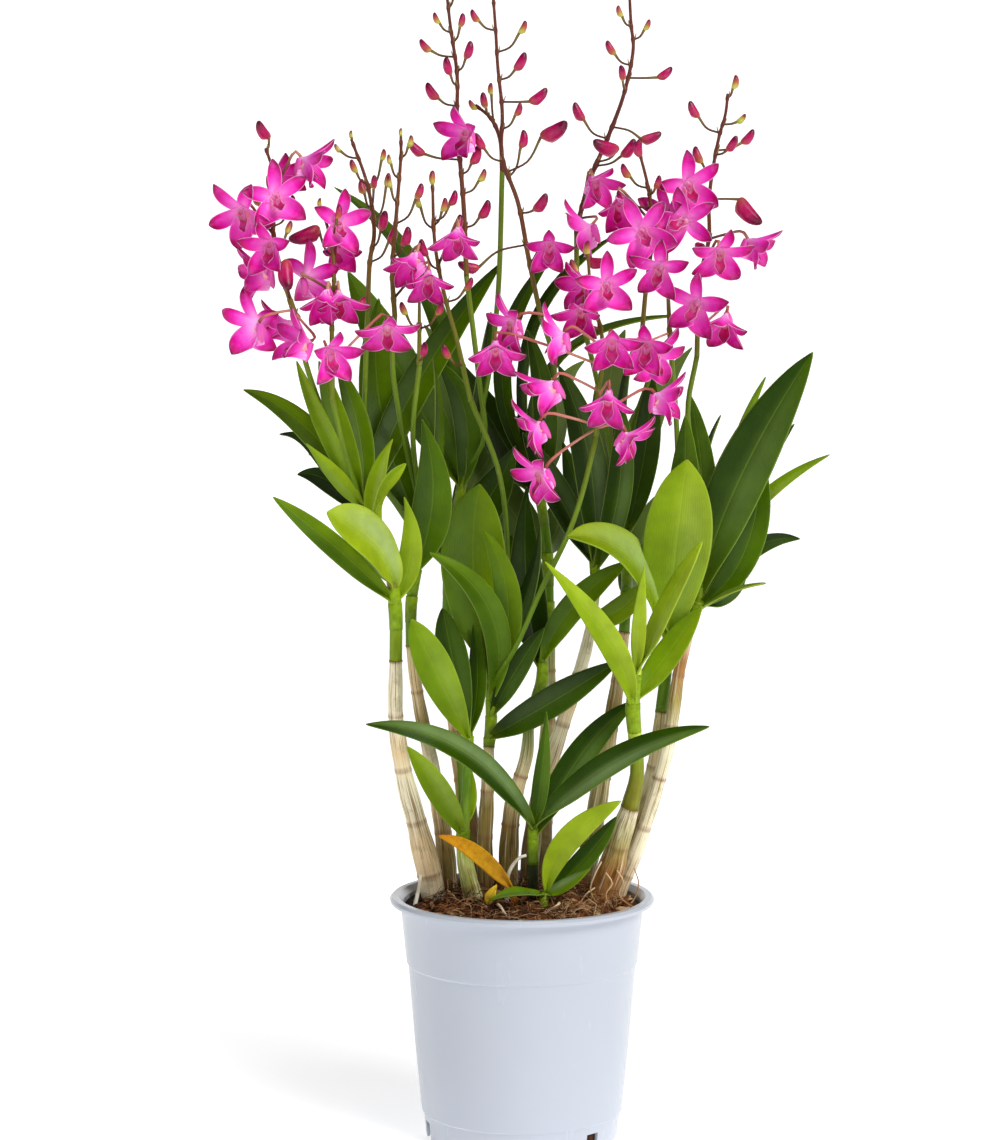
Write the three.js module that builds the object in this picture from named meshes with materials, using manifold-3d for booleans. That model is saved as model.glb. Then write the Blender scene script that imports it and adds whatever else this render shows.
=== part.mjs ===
// A dendrobium orchid in full flower, in its plastic grower's pot.
// Millimetres, +Z up, the front of the plant towards -Y. The origin is the middle of the pot's
// underside, so the plant stands on the plane z = 0.
//
// Twelve jointed canes stand in the bark mix. The young end of each cane is a green leafy stem,
// and from the leafy stems rise the flower sprays: a thin stalk with blooms low down and buds
// towards its tip. Every piece that grew as one body and has one colour is one solid.

import * as THREE from 'three';
import { mergeVertices } from 'three/addons/utils/BufferGeometryUtils.js';
import Module from 'manifold-3d';

const wasm = await Module();
wasm.setup();

// ---------------------------------------------------------------- driving dimensions

const POT = {
  height: 110,
  rimRadius: 60,          // outside of the rim
  rimDepth: 2.6,          // height of the rim
  mouthRadius: 56,        // inner edge of the rim's top; the wall flares out to it
  shoulderRadius: 55.3,   // outside of the wall, just under the rim
  stepDepth: 30,          // from the top down to the small step in the wall
  stepIn: 0.8,            // how far the wall steps in there
  footRadius: 44.6,       // where the wall's slope would meet the floor
  footHeight: 11,
  footIn: 0.9,            // how far the foot stands in from that slope
  wall: 1.5,
  floor: 2.4,
  padRadius: 40,          // the flat middle of the underside, which the pot stands on
  sides: 26,
};
// Drain slots in the bottom edge; the first stands a little to the left of the front.
const SLOT = { count: 6, width: 7, height: 8, depth: 9, turn: -Math.PI / 12 };

const MIX = {
  rimLevel: 103.5,        // surface of the bark mix at the wall
  crown: 3.5,             // how much higher it is heaped behind the middle
  relief: 1.1,            // unevenness of the surface
  gap: 0.3,               // clearance to the pot's wall and floor
  sides: 13,
};

const CANE_CLEARANCE = 0.6;        // between a cane and its hole in the mix
const HOLE_SIDES = 6;
const CANE_DEPTH = 14;             // how deep a cane stands in the mix
const CANE_SIDES = 5;
const STALK_SIDES = 3;

const KEEL_THICKNESS = 1.3;        // a blade thins from its keel to its edges
const LEAF_FOLD = 0.16;            // radians that each half of a blade is raised
const LONG_LEAF = 70;
const ROWS = [0.1, 0.4, 0.75];                    // cross-sections along a blade
const LONG_ROWS = [0.06, 0.28, 0.55, 0.84];       // and along a long one

const TEPAL_LENGTH = 13;           // from the middle of a bloom to the tips
const TEPAL_THICKNESS = 0.7;
const BUD_LENGTH = 8.5;
const PEDICEL_RADIUS = 0.65;
const PEDUNCLE_RADIUS = 1.2;
const RACHIS_TIP_RADIUS = 0.65;

// ---------------------------------------------------------------- front elevation

// Places are given as [x, z, y]: x and z as they are read in a front elevation on the plane
// y = 0, seen from the eye point, and y, the true depth behind that plane.
const EYE = new THREE.Vector3(-10, -1300, 374);

function at([x, z, y]) {
  const reach = 1 - y / EYE.y;
  return new THREE.Vector3(
    EYE.x + (x - EYE.x) * reach,
    y,
    EYE.z + (z - EYE.z) * reach,
  );
}

function through(places) {
  return new THREE.CatmullRomCurve3(places.map(at), false, 'centripetal');
}

// The leaves' faces look in one of these directions.
const LOOK = {
  front: [0, -1, 0.35],
  back: [0, 1, 0.35],
  sky: [0, -0.35, 1],
  left: [-0.75, -0.6, 0.3],
  right: [0.75, -0.6, 0.3],
  brow: [0, -0.8, 0.75],
};

// ---------------------------------------------------------------- canes

// Old, leafless, papery canes: [name, places from the mix upwards, radii at those places]
const CANES = [
  ['cane_1', [[-40, 108, 12], [-47, 140, 9], [-53, 163, 6], [-57, 190, 2], [-57, 217, -2]],
    [6.2, 5.0, 4.1, 3.6, 3.1]],
  ['cane_2', [[-33, 109, 22], [-36, 140, 22], [-41, 170, 22], [-47, 200, 19], [-50, 224, 16]],
    [4.6, 4.0, 3.4, 3.0, 2.7]],
  ['cane_3', [[-22, 107, 6], [-24, 116, 5], [-26, 126, 4], [-27, 134, 3]],
    [5.2, 4.4, 3.8, 3.2]],
  ['cane_4', [[-16, 109, 18], [-17, 130, 18], [-16, 152, 17], [-15, 178, 16]],
    [4.0, 3.8, 3.2, 2.6]],
  ['cane_5', [[-6, 110, 17], [-6, 130, 17], [-4, 152, 16], [2, 174, 15], [3, 187, 14]],
    [4.8, 4.6, 4.0, 3.2, 2.6]],
  ['cane_6', [[3, 110, 28], [4, 130, 28], [8, 155, 28], [18, 187, 28], [28, 219, 28], [31, 233, 28]],
    [4.6, 4.3, 4.0, 3.6, 3.2, 2.6]],
  ['cane_7', [[36, 108, 8], [41, 124, 6], [45, 138, 3], [49, 150, 0]],
    [7.0, 6.2, 5.4, 4.5]],
  ['cane_8', [[38, 110, 27], [46, 128, 27], [54, 148, 24], [60, 170, 21], [63, 194, 19]],
    [4.8, 4.4, 4.0, 3.5, 3.0]],
  ['cane_9', [[44, 109, 17], [51, 128, 16], [58, 149, 14], [66, 179, 12], [71, 213, 12], [76, 234, 13]],
    [3.6, 3.4, 3.3, 3.2, 2.9, 2.5]],
  ['cane_10', [[-19, 111, 36], [-25, 150, 44], [-31, 195, 52], [-34, 228, 56]],
    [5.0, 4.4, 3.6, 2.7]],
  ['cane_11', [[8, 111, 40], [10, 150, 48], [12, 200, 54], [12, 235, 56]],
    [4.8, 4.2, 3.5, 2.7]],
  ['cane_12', [[28, 110, 36], [34, 150, 42], [42, 200, 47], [46, 230, 48]],
    [5.0, 4.4, 3.6, 2.7]],
];
const NODE_SPACING = 30;           // between the joints of a cane
const NODE_WAIST = 0.9;            // radius at a joint against the swelling between two joints

// ---------------------------------------------------------------- leafy stems

// The shape of a blade from base to tip: where it is widest, how full it is, how wide its base.
const FORM = {
  strap: { belly: 0.95, fullness: 0.7, base: 0.3 },
  lance: { belly: 0.75, fullness: 0.95, base: 0.35 },
  oval: { belly: 1.35, fullness: 0.62, base: 0.2 },
};

// [name, stem places, stem radii, leaves, flower stalks]
// A leaf: [form, width, look, base, middle, tip]. A flower stalk: its places.
const LEAFY_STEMS = [
  ['leafy_stem_1',
    [[-57, 217.4, -2], [-57, 238, -3], [-59, 255, -4], [-65, 272, -3], [-72, 288, -1]],
    [2.9, 2.9, 2.6, 2.3, 2.0],
    [
      ['oval', 25, 'brow', [-58, 250, -5], [-66, 269, -22], [-88, 284, -36]],
      ['strap', 11, 'front', [-59, 243, -4], [-84, 268, -12], [-112, 291, -18]],
      ['lance', 11, 'front', [-57, 243, -2], [-50, 266, -2], [-53, 291, -6]],
      ['strap', 12, 'front', [-71, 286, 1], [-97, 322, 10], [-125, 339, 16]],
      ['lance', 14, 'brow', [-70, 284, 2], [-91, 312, 20], [-109, 319, 28]],
      ['lance', 8, 'front', [-71, 285, -2], [-86, 303, -9], [-97, 315, -14]],
      ['strap', 12, 'front', [-70, 283, 2], [-87, 298, 20], [-101, 301, 30]],
      ['strap', 8, 'front', [-72, 287, -1], [-89, 322, -5], [-101, 352, -12]],
      ['strap', 11, 'front', [-72, 287, 0], [-82, 322, 0], [-91, 352, 4]],
      ['strap', 12, 'front', [-71, 286, 1], [-73, 320, 7], [-83, 350, 10]],
      ['lance', 9, 'front', [-67, 279, -3], [-65, 300, -9], [-58, 317, -12]],
      ['strap', 12, 'right', [-66, 275, -3], [-64, 292, -18], [-52, 306, -27]],
      ['strap', 16, 'front', [-70, 284, 2], [-50, 336, 32], [-9, 396, 44]],
      ['lance', 17, 'back', [-69, 281, 1], [-80, 303, 32], [-96, 310, 52]],
    ],
    [
      [[-72, 287, 0], [-85, 318, 8], [-96, 348, 2], [-101, 370, -10]],
      [[-72, 287, -1], [-79, 309, -9], [-85, 335, -12]],
      [[-71, 286, 0], [-71, 320, 14], [-70, 350, 17], [-69, 374, 18]],
    ]],
  ['leafy_stem_2',
    [[-50, 224.4, 16], [-50, 242, 16], [-47, 262, 16], [-44, 282, 16]],
    [2.6, 2.4, 2.2, 1.8],
    [
      ['lance', 19, 'front', [-47, 258, 15], [-40, 292, 4], [-45, 326, 0]],
      ['strap', 20, 'front', [-45, 276, 16], [-63, 328, 38], [-64, 380, 42]],
      ['lance', 10, 'right', [-44, 280, 16], [-38, 316, 13], [-40, 353, 13]],
      ['strap', 17, 'back', [-49, 246, 17], [-64, 262, 34], [-86, 266, 52]],
    ],
    [
      [[-44, 280, 16], [-54, 322, 13], [-58, 350, 11], [-57, 372, 9]],
      [[-44, 280, 16], [-49, 318, 9], [-46, 350, 5]],
    ]],
  ['leafy_stem_3',
    [[-27, 134.9, 3], [-25, 160, 1], [-24, 184, 2]],
    [2.9, 2.2, 1.8],
    [
      ['strap', 12, 'front', [-26, 137, 2], [-37, 156, -6], [-52, 178, -14]],
      ['lance', 9, 'front', [-26, 140, 3], [-25, 160, 10], [-31, 180, 14]],
      ['oval', 17, 'front', [-24, 181, 1], [-36, 206, -9], [-50, 236, -15]],
      ['oval', 15, 'front', [-24, 183, 3], [-31, 216, 6], [-36, 241, 6]],
      ['strap', 9, 'front', [-24, 182, 2], [-20, 208, 8], [-22, 234, 11]],
    ],
    []],
  ['leafy_stem_4',
    [[-15, 178.4, 16], [-14, 190, 15], [-14, 202, 14], [-14, 213, 13]],
    [2.5, 2.4, 2.2, 2.0],
    [
      ['strap', 13, 'front', [-14, 199, 14], [-14, 238, -2], [-42, 266, -12]],
      ['oval', 31, 'front', [-14, 210, 13], [-22, 256, 17], [-19, 297, 14]],
      ['strap', 13, 'front', [-13, 205, 13], [-6, 242, 5], [-18, 277, 1]],
      ['lance', 12, 'left', [-13, 207, 14], [3, 248, 22], [8, 278, 20]],
      ['strap', 15, 'front', [-15, 182, 16], [12, 197, -3], [44, 217, -12]],
      ['strap', 11, 'front', [-14, 192, 15], [-3, 212, 8], [10, 232, 4]],
    ],
    [
      [[-14, 211, 13], [-7, 250, 27], [-10, 300, 21], [-23, 334, 15]],
      [[-13, 206, 13], [-3, 223, -3], [8, 248, -8], [21, 275, -12], [27, 293, -13], [33, 318, -12]],
    ]],
  ['leafy_stem_5',
    [[3, 187.4, 14], [6, 199, 13], [9, 208, 12], [9, 218, 12]],
    [2.5, 2.3, 2.6, 2.0],
    [
      ['strap', 13, 'front', [9, 216, 12], [22, 240, 9], [48, 262, 8]],
      ['lance', 18, 'front', [9, 212, 14], [2, 250, 30], [2, 296, 38]],
    ],
    []],
  ['leafy_stem_6',
    [[31, 233.4, 28], [33, 250, 28], [32, 266, 27]],
    [2.4, 2.2, 1.8],
    [
      ['strap', 16, 'front', [32, 262, 27], [30, 308, 19], [16, 350, 18]],
      ['strap', 12, 'front', [31, 236, 28], [43, 239, 20], [56, 252, 17]],
      ['strap', 14, 'front', [32, 260, 28], [18, 288, 34], [0, 320, 38]],
      ['strap', 13, 'front', [33, 258, 27], [43, 292, 17], [44, 334, 18]],
    ],
    []],
  ['leafy_stem_7',
    [[49, 150.9, 0], [52, 165, -3], [51, 182, -6], [50, 197, -8], [52, 214, -8]],
    [4.2, 3.2, 3.1, 3.0, 2.0],
    [
      ['lance', 12, 'front', [50, 196, -8], [39, 226, -21], [10, 262, -36]],
      ['lance', 7, 'front', [52, 211, -8], [53, 238, -19], [55, 260, -25]],
      ['strap', 12, 'left', [52, 208, -8], [65, 241, -15], [81, 271, -22]],
      ['strap', 13, 'front', [50, 198, -7], [65, 219, 1], [81, 242, 3]],
    ],
    []],
  ['leafy_stem_8',
    [[63, 194.6, 19], [65, 213, 18], [66, 230, 16]],
    [2.9, 2.7, 2.2],
    [
      ['oval', 32, 'front', [66, 226, 16], [69, 266, -2], [74, 308, -8]],
      ['oval', 28, 'brow', [66, 228, 16], [48, 263, -14], [20, 273, -30]],
      ['strap', 17, 'front', [66, 229, 16], [72, 288, 14], [73, 328, 12]],
    ],
    [
      [[66, 228, 16], [70, 280, 24], [69, 324, 22], [66, 360, 20]],
    ]],
  ['leafy_stem_9',
    [[76, 234.4, 13], [79, 242, 13], [81, 252, 12]],
    [2.4, 2.2, 1.8],
    [
      ['strap', 25, 'front', [80, 248, 12], [97, 298, 1], [130, 356, -8]],
      ['strap', 15, 'front', [78, 241, 13], [100, 266, 10], [107, 310, 12]],
      ['strap', 7, 'front', [80, 249, 13], [104, 286, 21], [138, 310, 24]],
      ['strap', 10, 'front', [79, 244, 14], [103, 267, 22], [125, 272, 26]],
      ['lance', 10, 'front', [79, 242, 14], [95, 250, 28], [100, 263, 34]],
      ['strap', 7, 'sky', [77, 237, 13], [92, 247, 2], [110, 252, -6]],
      ['strap', 8, 'right', [80, 250, 14], [104, 296, 34], [122, 324, 40]],
      ['strap', 8, 'right', [80, 250, 13], [94, 308, 28], [109, 345, 36]],
      ['strap', 7, 'left', [80, 251, 14], [80, 296, 50], [89, 328, 52]],
      ['strap', 14, 'front', [80, 250, 13], [81, 296, 34], [75, 337, 36]],
    ],
    [
      [[81, 250, 12], [81, 290, 28], [74, 328, 27], [78, 354, 24]],
    ]],
  ['leafy_stem_10',
    [[-34, 228.4, 56], [-33, 255, 57], [-30, 280, 56], [-26, 302, 54]],
    [2.6, 2.4, 2.2, 1.8],
    [
      ['strap', 10, 'front', [-26, 299, 54], [-42, 382, 60], [-84, 429, 62]],
      ['strap', 22, 'front', [-27, 296, 54], [-56, 350, 57], [-78, 392, 57]],
      ['strap', 12, 'right', [-27, 297, 53], [-20, 335, 50], [-14, 374, 50]],
      ['strap', 13, 'front', [-27, 294, 53], [-25, 326, 45], [-38, 352, 44]],
      ['lance', 18, 'back', [-27, 297, 56], [-32, 342, 78], [-44, 368, 94]],
      ['lance', 18, 'back', [-29, 284, 57], [-12, 312, 82], [4, 330, 102]],
      ['lance', 18, 'back', [-33, 258, 58], [-52, 290, 78], [-76, 304, 88]],
      ['lance', 18, 'front', [-33, 262, 58], [-48, 290, 66], [-66, 318, 68]],
      ['lance', 20, 'front', [-32, 270, 57], [-15, 290, 52], [-3, 314, 48]],
    ],
    [
      [[-26, 300, 54], [-17, 318, 42], [-19, 340, 32], [-25, 390, 26]],
      [[-26, 300, 54], [-16, 340, 46], [-11, 380, 42], [-9, 436, 38]],
    ]],
  ['leafy_stem_11',
    [[12, 235.4, 56], [11, 270, 57], [6, 302, 55]],
    [2.6, 2.3, 1.8],
    [
      ['strap', 9, 'front', [7, 298, 55], [-9, 350, 66], [15, 401, 68]],
      ['strap', 9, 'left', [7, 299, 56], [4, 364, 60], [42, 408, 60]],
      ['strap', 10, 'sky', [7, 299, 55], [16, 352, 54], [71, 372, 50]],
      ['lance', 18, 'back', [8, 294, 57], [16, 334, 84], [28, 352, 104]],
      ['lance', 18, 'back', [11, 266, 58], [20, 284, 84], [28, 290, 106]],
      ['strap', 12, 'front', [8, 292, 54], [10, 330, 44], [2, 366, 40]],
      ['lance', 20, 'front', [9, 290, 57], [-10, 318, 68], [-28, 352, 72]],
      ['lance', 20, 'back', [11, 262, 58], [-8, 290, 78], [-24, 322, 92]],
      ['lance', 18, 'front', [12, 244, 57], [-4, 262, 66], [-22, 284, 74]],
    ],
    [
      [[6, 300, 55], [13, 330, 50], [14, 352, 46], [8, 372, 42]],
    ]],
  ['leafy_stem_12',
    [[46, 230.4, 48], [47, 262, 48], [43, 292, 46]],
    [2.6, 2.3, 1.8],
    [
      ['strap', 14, 'front', [46, 272, 47], [55, 312, 36], [57, 349, 34]],
      ['strap', 9, 'left', [45, 280, 47], [44, 320, 32], [49, 357, 28]],
      ['lance', 18, 'back', [47, 262, 49], [70, 290, 70], [94, 302, 82]],
      ['lance', 17, 'back', [44, 286, 48], [58, 330, 68], [76, 358, 78]],
      ['lance', 18, 'back', [47, 248, 49], [56, 268, 74], [66, 276, 98]],
      ['lance', 18, 'front', [46, 262, 47], [30, 284, 56], [18, 316, 60]],
      ['strap', 16, 'back', [44, 284, 48], [38, 330, 66], [46, 366, 76]],
    ],
    [
      [[43, 290, 46], [34, 340, 48], [25, 380, 46], [24, 410, 44]],
      [[44, 288, 46], [50, 324, 46], [57, 348, 26], [53, 358, 16]],
    ]],
  ['leafy_stem_13',
    [[5, 96, -2], [5, 107, -2], [5, 124, -3], [5, 142, -5]],
    [2.0, 2.6, 2.3, 2.0],
    [
      ['strap', 13, 'brow', [5, 139, -5], [-26, 175, -32], [-71, 188, -42]],
      ['strap', 14, 'brow', [5, 140, -5], [42, 171, -24], [85, 187, -32]],
      ['lance', 8, 'front', [5, 139, -6], [9, 165, -12], [11, 194, -14]],
      ['strap', 14, 'front', [5, 136, -4], [28, 176, 3], [52, 199, 7]],
    ],
    []],
  ['leafy_stem_14',
    [[10, 94, -10], [10, 108, -10], [12, 113, -11]],
    [1.8, 2.0, 1.6],
    [
      ['strap', 12, 'front', [11, 111, -11], [20, 134, -16], [45, 153, -22]],
      ['strap', 10, 'front', [11, 110, -10], [28, 126, -6], [43, 146, -6]],
      ['lance', 7, 'brow', [11, 109, -10], [21, 115, -14], [31, 122, -16]],
      ['lance', 8, 'sky', [10, 108, -11], [-2, 111, -21], [-15, 107, -27]],
    ],
    []],
];

// ---------------------------------------------------------------- flower sprays

// [name, rachis places, blooms, buds]
// A bloom: [x, z, y, height on the rachis, yaw, pitch]. Its face looks to the front at a yaw of 0
// and to the right at 90. A bud: [x, z, y, height on the rachis, size], with a yaw and a pitch
// where it doesn't point away from the rachis and up.
const SPRAYS = [
  ['spray_1',
    [
      [-101, 370.6, -10], [-107, 390, -12], [-111, 410, -12], [-110, 432, -10], [-114, 446, -8],
    ],
    [
      [-127, 416, -20, 408, -20, -25], [-109, 425, -24, 418, 15, 5],
      [-114, 402, -24, 394, -15, -15], [-121, 391, -10, 384, -80, -10],
      [-91, 439, -10, 428, 78, -18], [-122, 368, -14, 374, -140, -5],
      [-102, 362, -24, 373, -60, 14], [-107, 433, -2, 424, 35, 10], [-110, 368, 0, 376, -75, 0],
    ],
    [
      [-115, 454, -8, 445, 1.1, -40, 40], [-112, 431, -16, 424, 0.9], [-118, 424, -6, 412, 0.8],
      [-103, 422, 0, 412, 0.8], [-105, 390, -20, 378, 1.6, 10, -65], [-104, 411, -4, 403, 0.7],
    ]],
  ['spray_2',
    [
      [-85, 335.6, -12], [-85, 370, -12], [-84, 394, -11], [-87, 412, -10], [-90, 420, -10],
    ],
    [
      [-80, 413, -14, 402, 25, 0], [-81, 401, 2, 388, 15, -35], [-93, 390, -4, 382, 150, 10],
      [-89, 377, -24, 370, -20, -50], [-81, 376, -20, 366, 15, -55], [-84, 354, -26, 352, 30, -22],
      [-60, 362, -16, 350, 10, -58],
    ],
    [
      [-97, 408, -2, 398, 1.6, -75, -25], [-90, 422, -10, 418, 0.45], [-82, 418, -12, 406, 0.7],
      [-72, 378, 0, 374, 0.7],
    ]],
  ['spray_3',
    [
      [-69, 374.6, 18], [-68, 396, 18], [-66, 409, 18], [-69, 430, 18], [-76, 450, 18],
    ],
    [],
    [
      [-76, 452, 18, 448, 0.4], [-82, 446, 18, 441, 0.5], [-75, 438, 14, 430, 0.7],
      [-71, 429, 24, 419, 0.8], [-66, 431, 12, 420, 0.7], [-62, 414, 12, 402, 1],
      [-62, 443, 24, 428, 0.6], [-60, 432, 26, 414, 0.7], [-58, 408, 22, 396, 0.9],
    ]],
  ['spray_4',
    [
      [-57, 372.6, 9], [-58, 391, 9], [-56, 418, 9], [-54, 443, 9], [-54, 451, 9],
    ],
    [
      [-51, 394, -3, 388, -40, -45], [-42, 385, -4, 380, 0, -55],
    ],
    [
      [-54, 453, 9, 449, 0.4], [-50, 449, 8, 442, 0.6], [-59, 441, 6, 433, 0.5],
      [-59, 431, 4, 422, 0.6], [-46, 427, 4, 412, 0.8], [-52, 407, 4, 398, 1],
    ]],
  ['spray_5',
    [
      [-46, 350.6, 5], [-46, 368, 4], [-46, 378, 3],
    ],
    [],
    [
      [-44, 357, -3, 352, 0.8], [-53, 375, 0, 366, 0.7], [-37, 375, -4, 366, 0.7],
    ]],
  ['spray_6',
    [
      [-23.3, 334.6, 15], [-29, 360, 14], [-35, 382, 13], [-39, 404, 12], [-40, 430, 11],
    ],
    [
      [-30, 404, 0, 394, -15, -58],
    ],
    [
      [-40, 433, 11, 428, 0.7], [-46, 422, 18, 410, 0.6], [-35, 421, 8, 412, 0.7],
      [-31, 424, 14, 414, 0.8], [-29, 413, 18, 402, 0.9], [-44, 402, 8, 392, 0.9],
      [-34, 356, 6, 350, 0.8], [-24, 386, 12, 378, 0.7],
    ]],
  ['spray_7',
    [
      [-25, 390.6, 26], [-26, 418, 26], [-29, 458, 26], [-29, 478, 26], [-32, 500, 26],
      [-34, 518, 26],
    ],
    [
      [-28, 452, 13, 444, -40, -10],
    ],
    [
      [-34, 520, 26, 516, 0.5], [-30, 515, 24, 508, 0.5], [-38, 503, 22, 497, 0.6],
      [-27, 502, 24, 493, 0.7], [-43, 491, 28, 485, 0.8], [-33, 482, 20, 474, 0.9],
      [-24, 489, 22, 480, 0.9], [-40, 471, 30, 464, 1], [-47, 446, 24, 440, 1],
      [-21, 443, 24, 434, 1], [-18, 434, 30, 427, 0.7], [-17, 419, 24, 410, 1],
    ]],
  ['spray_8',
    [
      [-9, 436.6, 38], [-10, 450, 38], [-14, 459, 37], [-21, 465, 36],
    ],
    [],
    [
      [-22, 465, 36, 464, 0.6], [-17, 467, 34, 459, 0.8], [-14, 472, 38, 456, 0.6],
    ]],
  ['spray_9',
    [
      [8, 372.6, 42], [3, 396, 36], [-2, 422, 31], [-9, 442, 28], [-9, 462, 27], [-11, 482, 26],
      [-12, 499, 26], [-13, 512, 26],
    ],
    [
      [12, 401, 22, 394, 0, -30],
    ],
    [
      [-13, 514, 26, 509, 0.5], [-21, 504, 26, 497, 0.7], [0, 499, 26, 489, 0.7],
      [-1, 484, 22, 476, 1], [7, 469, 26, 466, 1.1], [-2, 463, 22, 455, 0.7],
      [-19, 449, 22, 441, 0.9], [0, 450, 30, 434, 0.9], [8, 422, 26, 418, 1.1],
      [-24, 394, 32, 404, 1.1], [14, 454, 26, 436, 1.6, 60, 20],
    ]],
  ['spray_10',
    [
      [24, 410.6, 44], [30, 432, 42], [38, 451, 40], [45, 470, 38], [49, 490, 37], [48, 500, 36],
      [47, 518, 36],
    ],
    [
      [35, 429, 30, 420, 35, -35], [24, 409, 30, 415, -105, -22],
    ],
    [
      [47, 520, 36, 515, 0.5], [43, 506, 36, 499, 0.6], [55, 500, 36, 494, 0.6],
      [39, 490, 36, 482, 0.8], [44, 479, 30, 471, 0.8], [63, 479, 38, 476, 0.9],
      [25, 462, 40, 451, 1], [57, 451, 42, 456, 1.1], [47, 446, 34, 438, 1.1],
      [37, 447, 28, 440, 1.5, -60, 10], [34, 396, 34, 414, 1.2, 80, -5],
    ]],
  ['spray_11',
    [
      [78, 354.6, 24], [79, 388, 22], [83, 406, 21], [83, 424, 21], [87, 450, 20], [90, 461, 20],
      [91, 470, 20],
    ],
    [
      [75, 429, 10, 420, 15, -15], [89, 397, 10, 392, 10, -40], [107, 402, 20, 405, 75, -28],
      [76, 376, 8, 372, -25, -15], [89, 366, 16, 366, -30, -55],
    ],
    [
      [94, 475, 20, 468, 0.7], [76, 463, 20, 452, 0.9], [97, 459, 20, 457, 0.6],
      [100, 451, 22, 445, 0.9], [93, 448, 14, 443, 0.9], [78, 443, 22, 436, 0.9],
      [101, 418, 20, 423, 1.7, 60, -50], [79, 403, 14, 398, 0.9, 20, -10],
    ]],
  ['spray_12',
    [
      [53, 358.6, 16], [55, 383, 12], [58, 410, 10], [56, 428, 10], [52, 444, 10],
    ],
    [
      [53, 409, -4, 402, -5, -5], [71, 414, 0, 406, -20, 0], [60, 391, -6, 384, -20, -28],
      [43, 419, 6, 412, 0, -45], [62, 418, 8, 414, -35, 10],
    ],
    [
      [52, 446, 10, 442, 0.9], [45, 424, 10, 420, 0.9], [60, 431, 6, 426, 0.7],
      [46, 436, 14, 428, 0.8],
    ]],
  ['spray_13',
    [
      [33, 318.6, -12], [34, 338, -12], [36, 352, -10], [35, 366, -8], [31, 380, -6], [29, 400, -4],
    ],
    [
      [38, 385, -20, 378, 5, -5], [25, 371, -14, 368, -20, -45], [40, 358, -24, 354, 0, -32],
      [7, 338, -22, 339, -85, -33], [1, 320, -24, 323, -85, -32], [4, 299, -26, 321, -60, -28],
      [38, 331, -28, 336, -10, -58], [52, 314, -24, 321, 70, -42], [67, 335, -18, 327, 80, -12],
      [-9, 367, -8, 366, -60, -20], [11, 362, -22, 358, -100, -15], [-12, 354, -20, 350, 0, -48],
      [25, 385, -4, 380, -55, -10], [55, 357, -18, 354, -10, -20],
    ],
    [
      [29, 402, -4, 398, 0.7], [23, 394, -6, 388, 0.7],
    ]],
  ['spray_14',
    [
      [66, 360.6, 20], [65, 380, 18], [64, 396, 16],
    ],
    [
      [63, 352, 2, 364, 48, -28],
    ],
    [
      [64, 398, 16, 394, 0.7],
    ]],
];

// ---------------------------------------------------------------- small things on the mix

// A withered leaf hangs from the foot of a young shoot, and two bare roots stand out of the mix.
const WITHERED_STEM = [[-3, 96, -12], [-3, 106, -12], [-4, 112, -12]];
const WITHERED_LEAF = ['strap', 8, 'front', [-4, 111, -12], [-21, 129, -12], [-38, 137, -10]];
const WITHERED_RADII = [1.2, 1.2, 1];
const ROOTS = [
  ['aerial_root_1', [[-49, 103, -4], [-47, 112, -2], [-46, 119, 0]]],
  ['aerial_root_2', [[-7, 106, -8], [-6, 120, -9], [-1, 127, -9], [2, 128, -9]]],
];
const ROOT_RADII = [1, 1.1, 0.9, 0.7];

// ---------------------------------------------------------------- solids

function signedVolume(position, index) {
  const a = new THREE.Vector3();
  const b = new THREE.Vector3();
  const c = new THREE.Vector3();
  let volume = 0;
  for (let i = 0; i < index.length; i += 3) {
    a.fromArray(position, index[i] * 3);
    b.fromArray(position, index[i + 1] * 3);
    c.fromArray(position, index[i + 2] * 3);
    volume += a.dot(b.cross(c)) / 6;
  }
  return volume;
}

// A closed geometry as a manifold-3d solid, its faces pointing out whichever way it was made.
function solidOf(geometry) {
  const bare = geometry.clone();
  bare.deleteAttribute('normal');
  bare.deleteAttribute('uv');
  const merged = mergeVertices(bare, 1e-3);
  const position = new Float32Array(merged.attributes.position.array);
  const index = [];
  for (let i = 0; i < merged.index.count; i += 3) {
    const [a, b, c] = [0, 1, 2].map((k) => merged.index.getX(i + k));
    if (a !== b && b !== c && c !== a) index.push(a, b, c);
  }
  if (signedVolume(position, index) < 0) index.reverse();
  return new wasm.Manifold(new wasm.Mesh({
    numProp: 3,
    vertProperties: position,
    triVerts: new Uint32Array(index),
  }));
}

function fused(solids) {
  return solids.reduce((whole, piece) => whole.add(piece));
}

function meshOf(name, solid, material) {
  const { vertProperties, triVerts } = solid.getMesh();
  const geometry = new THREE.BufferGeometry();
  geometry.setAttribute('position', new THREE.BufferAttribute(new Float32Array(vertProperties), 3));
  geometry.setIndex(new THREE.BufferAttribute(new Uint32Array(triVerts), 1));
  geometry.computeVertexNormals();
  const mesh = new THREE.Mesh(geometry, material);
  mesh.name = name;
  return mesh;
}

function plastic(color, roughness) {
  return new THREE.MeshStandardMaterial({ color, roughness, metalness: 0 });
}

// Moves each vertex of a geometry by a function of its place.
function shaped(geometry, place) {
  const position = geometry.attributes.position;
  const vertex = new THREE.Vector3();
  for (let i = 0; i < position.count; i += 1) {
    vertex.fromBufferAttribute(position, i);
    place(vertex);
    position.setXYZ(i, vertex.x, vertex.y, vertex.z);
  }
  return geometry;
}

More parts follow.
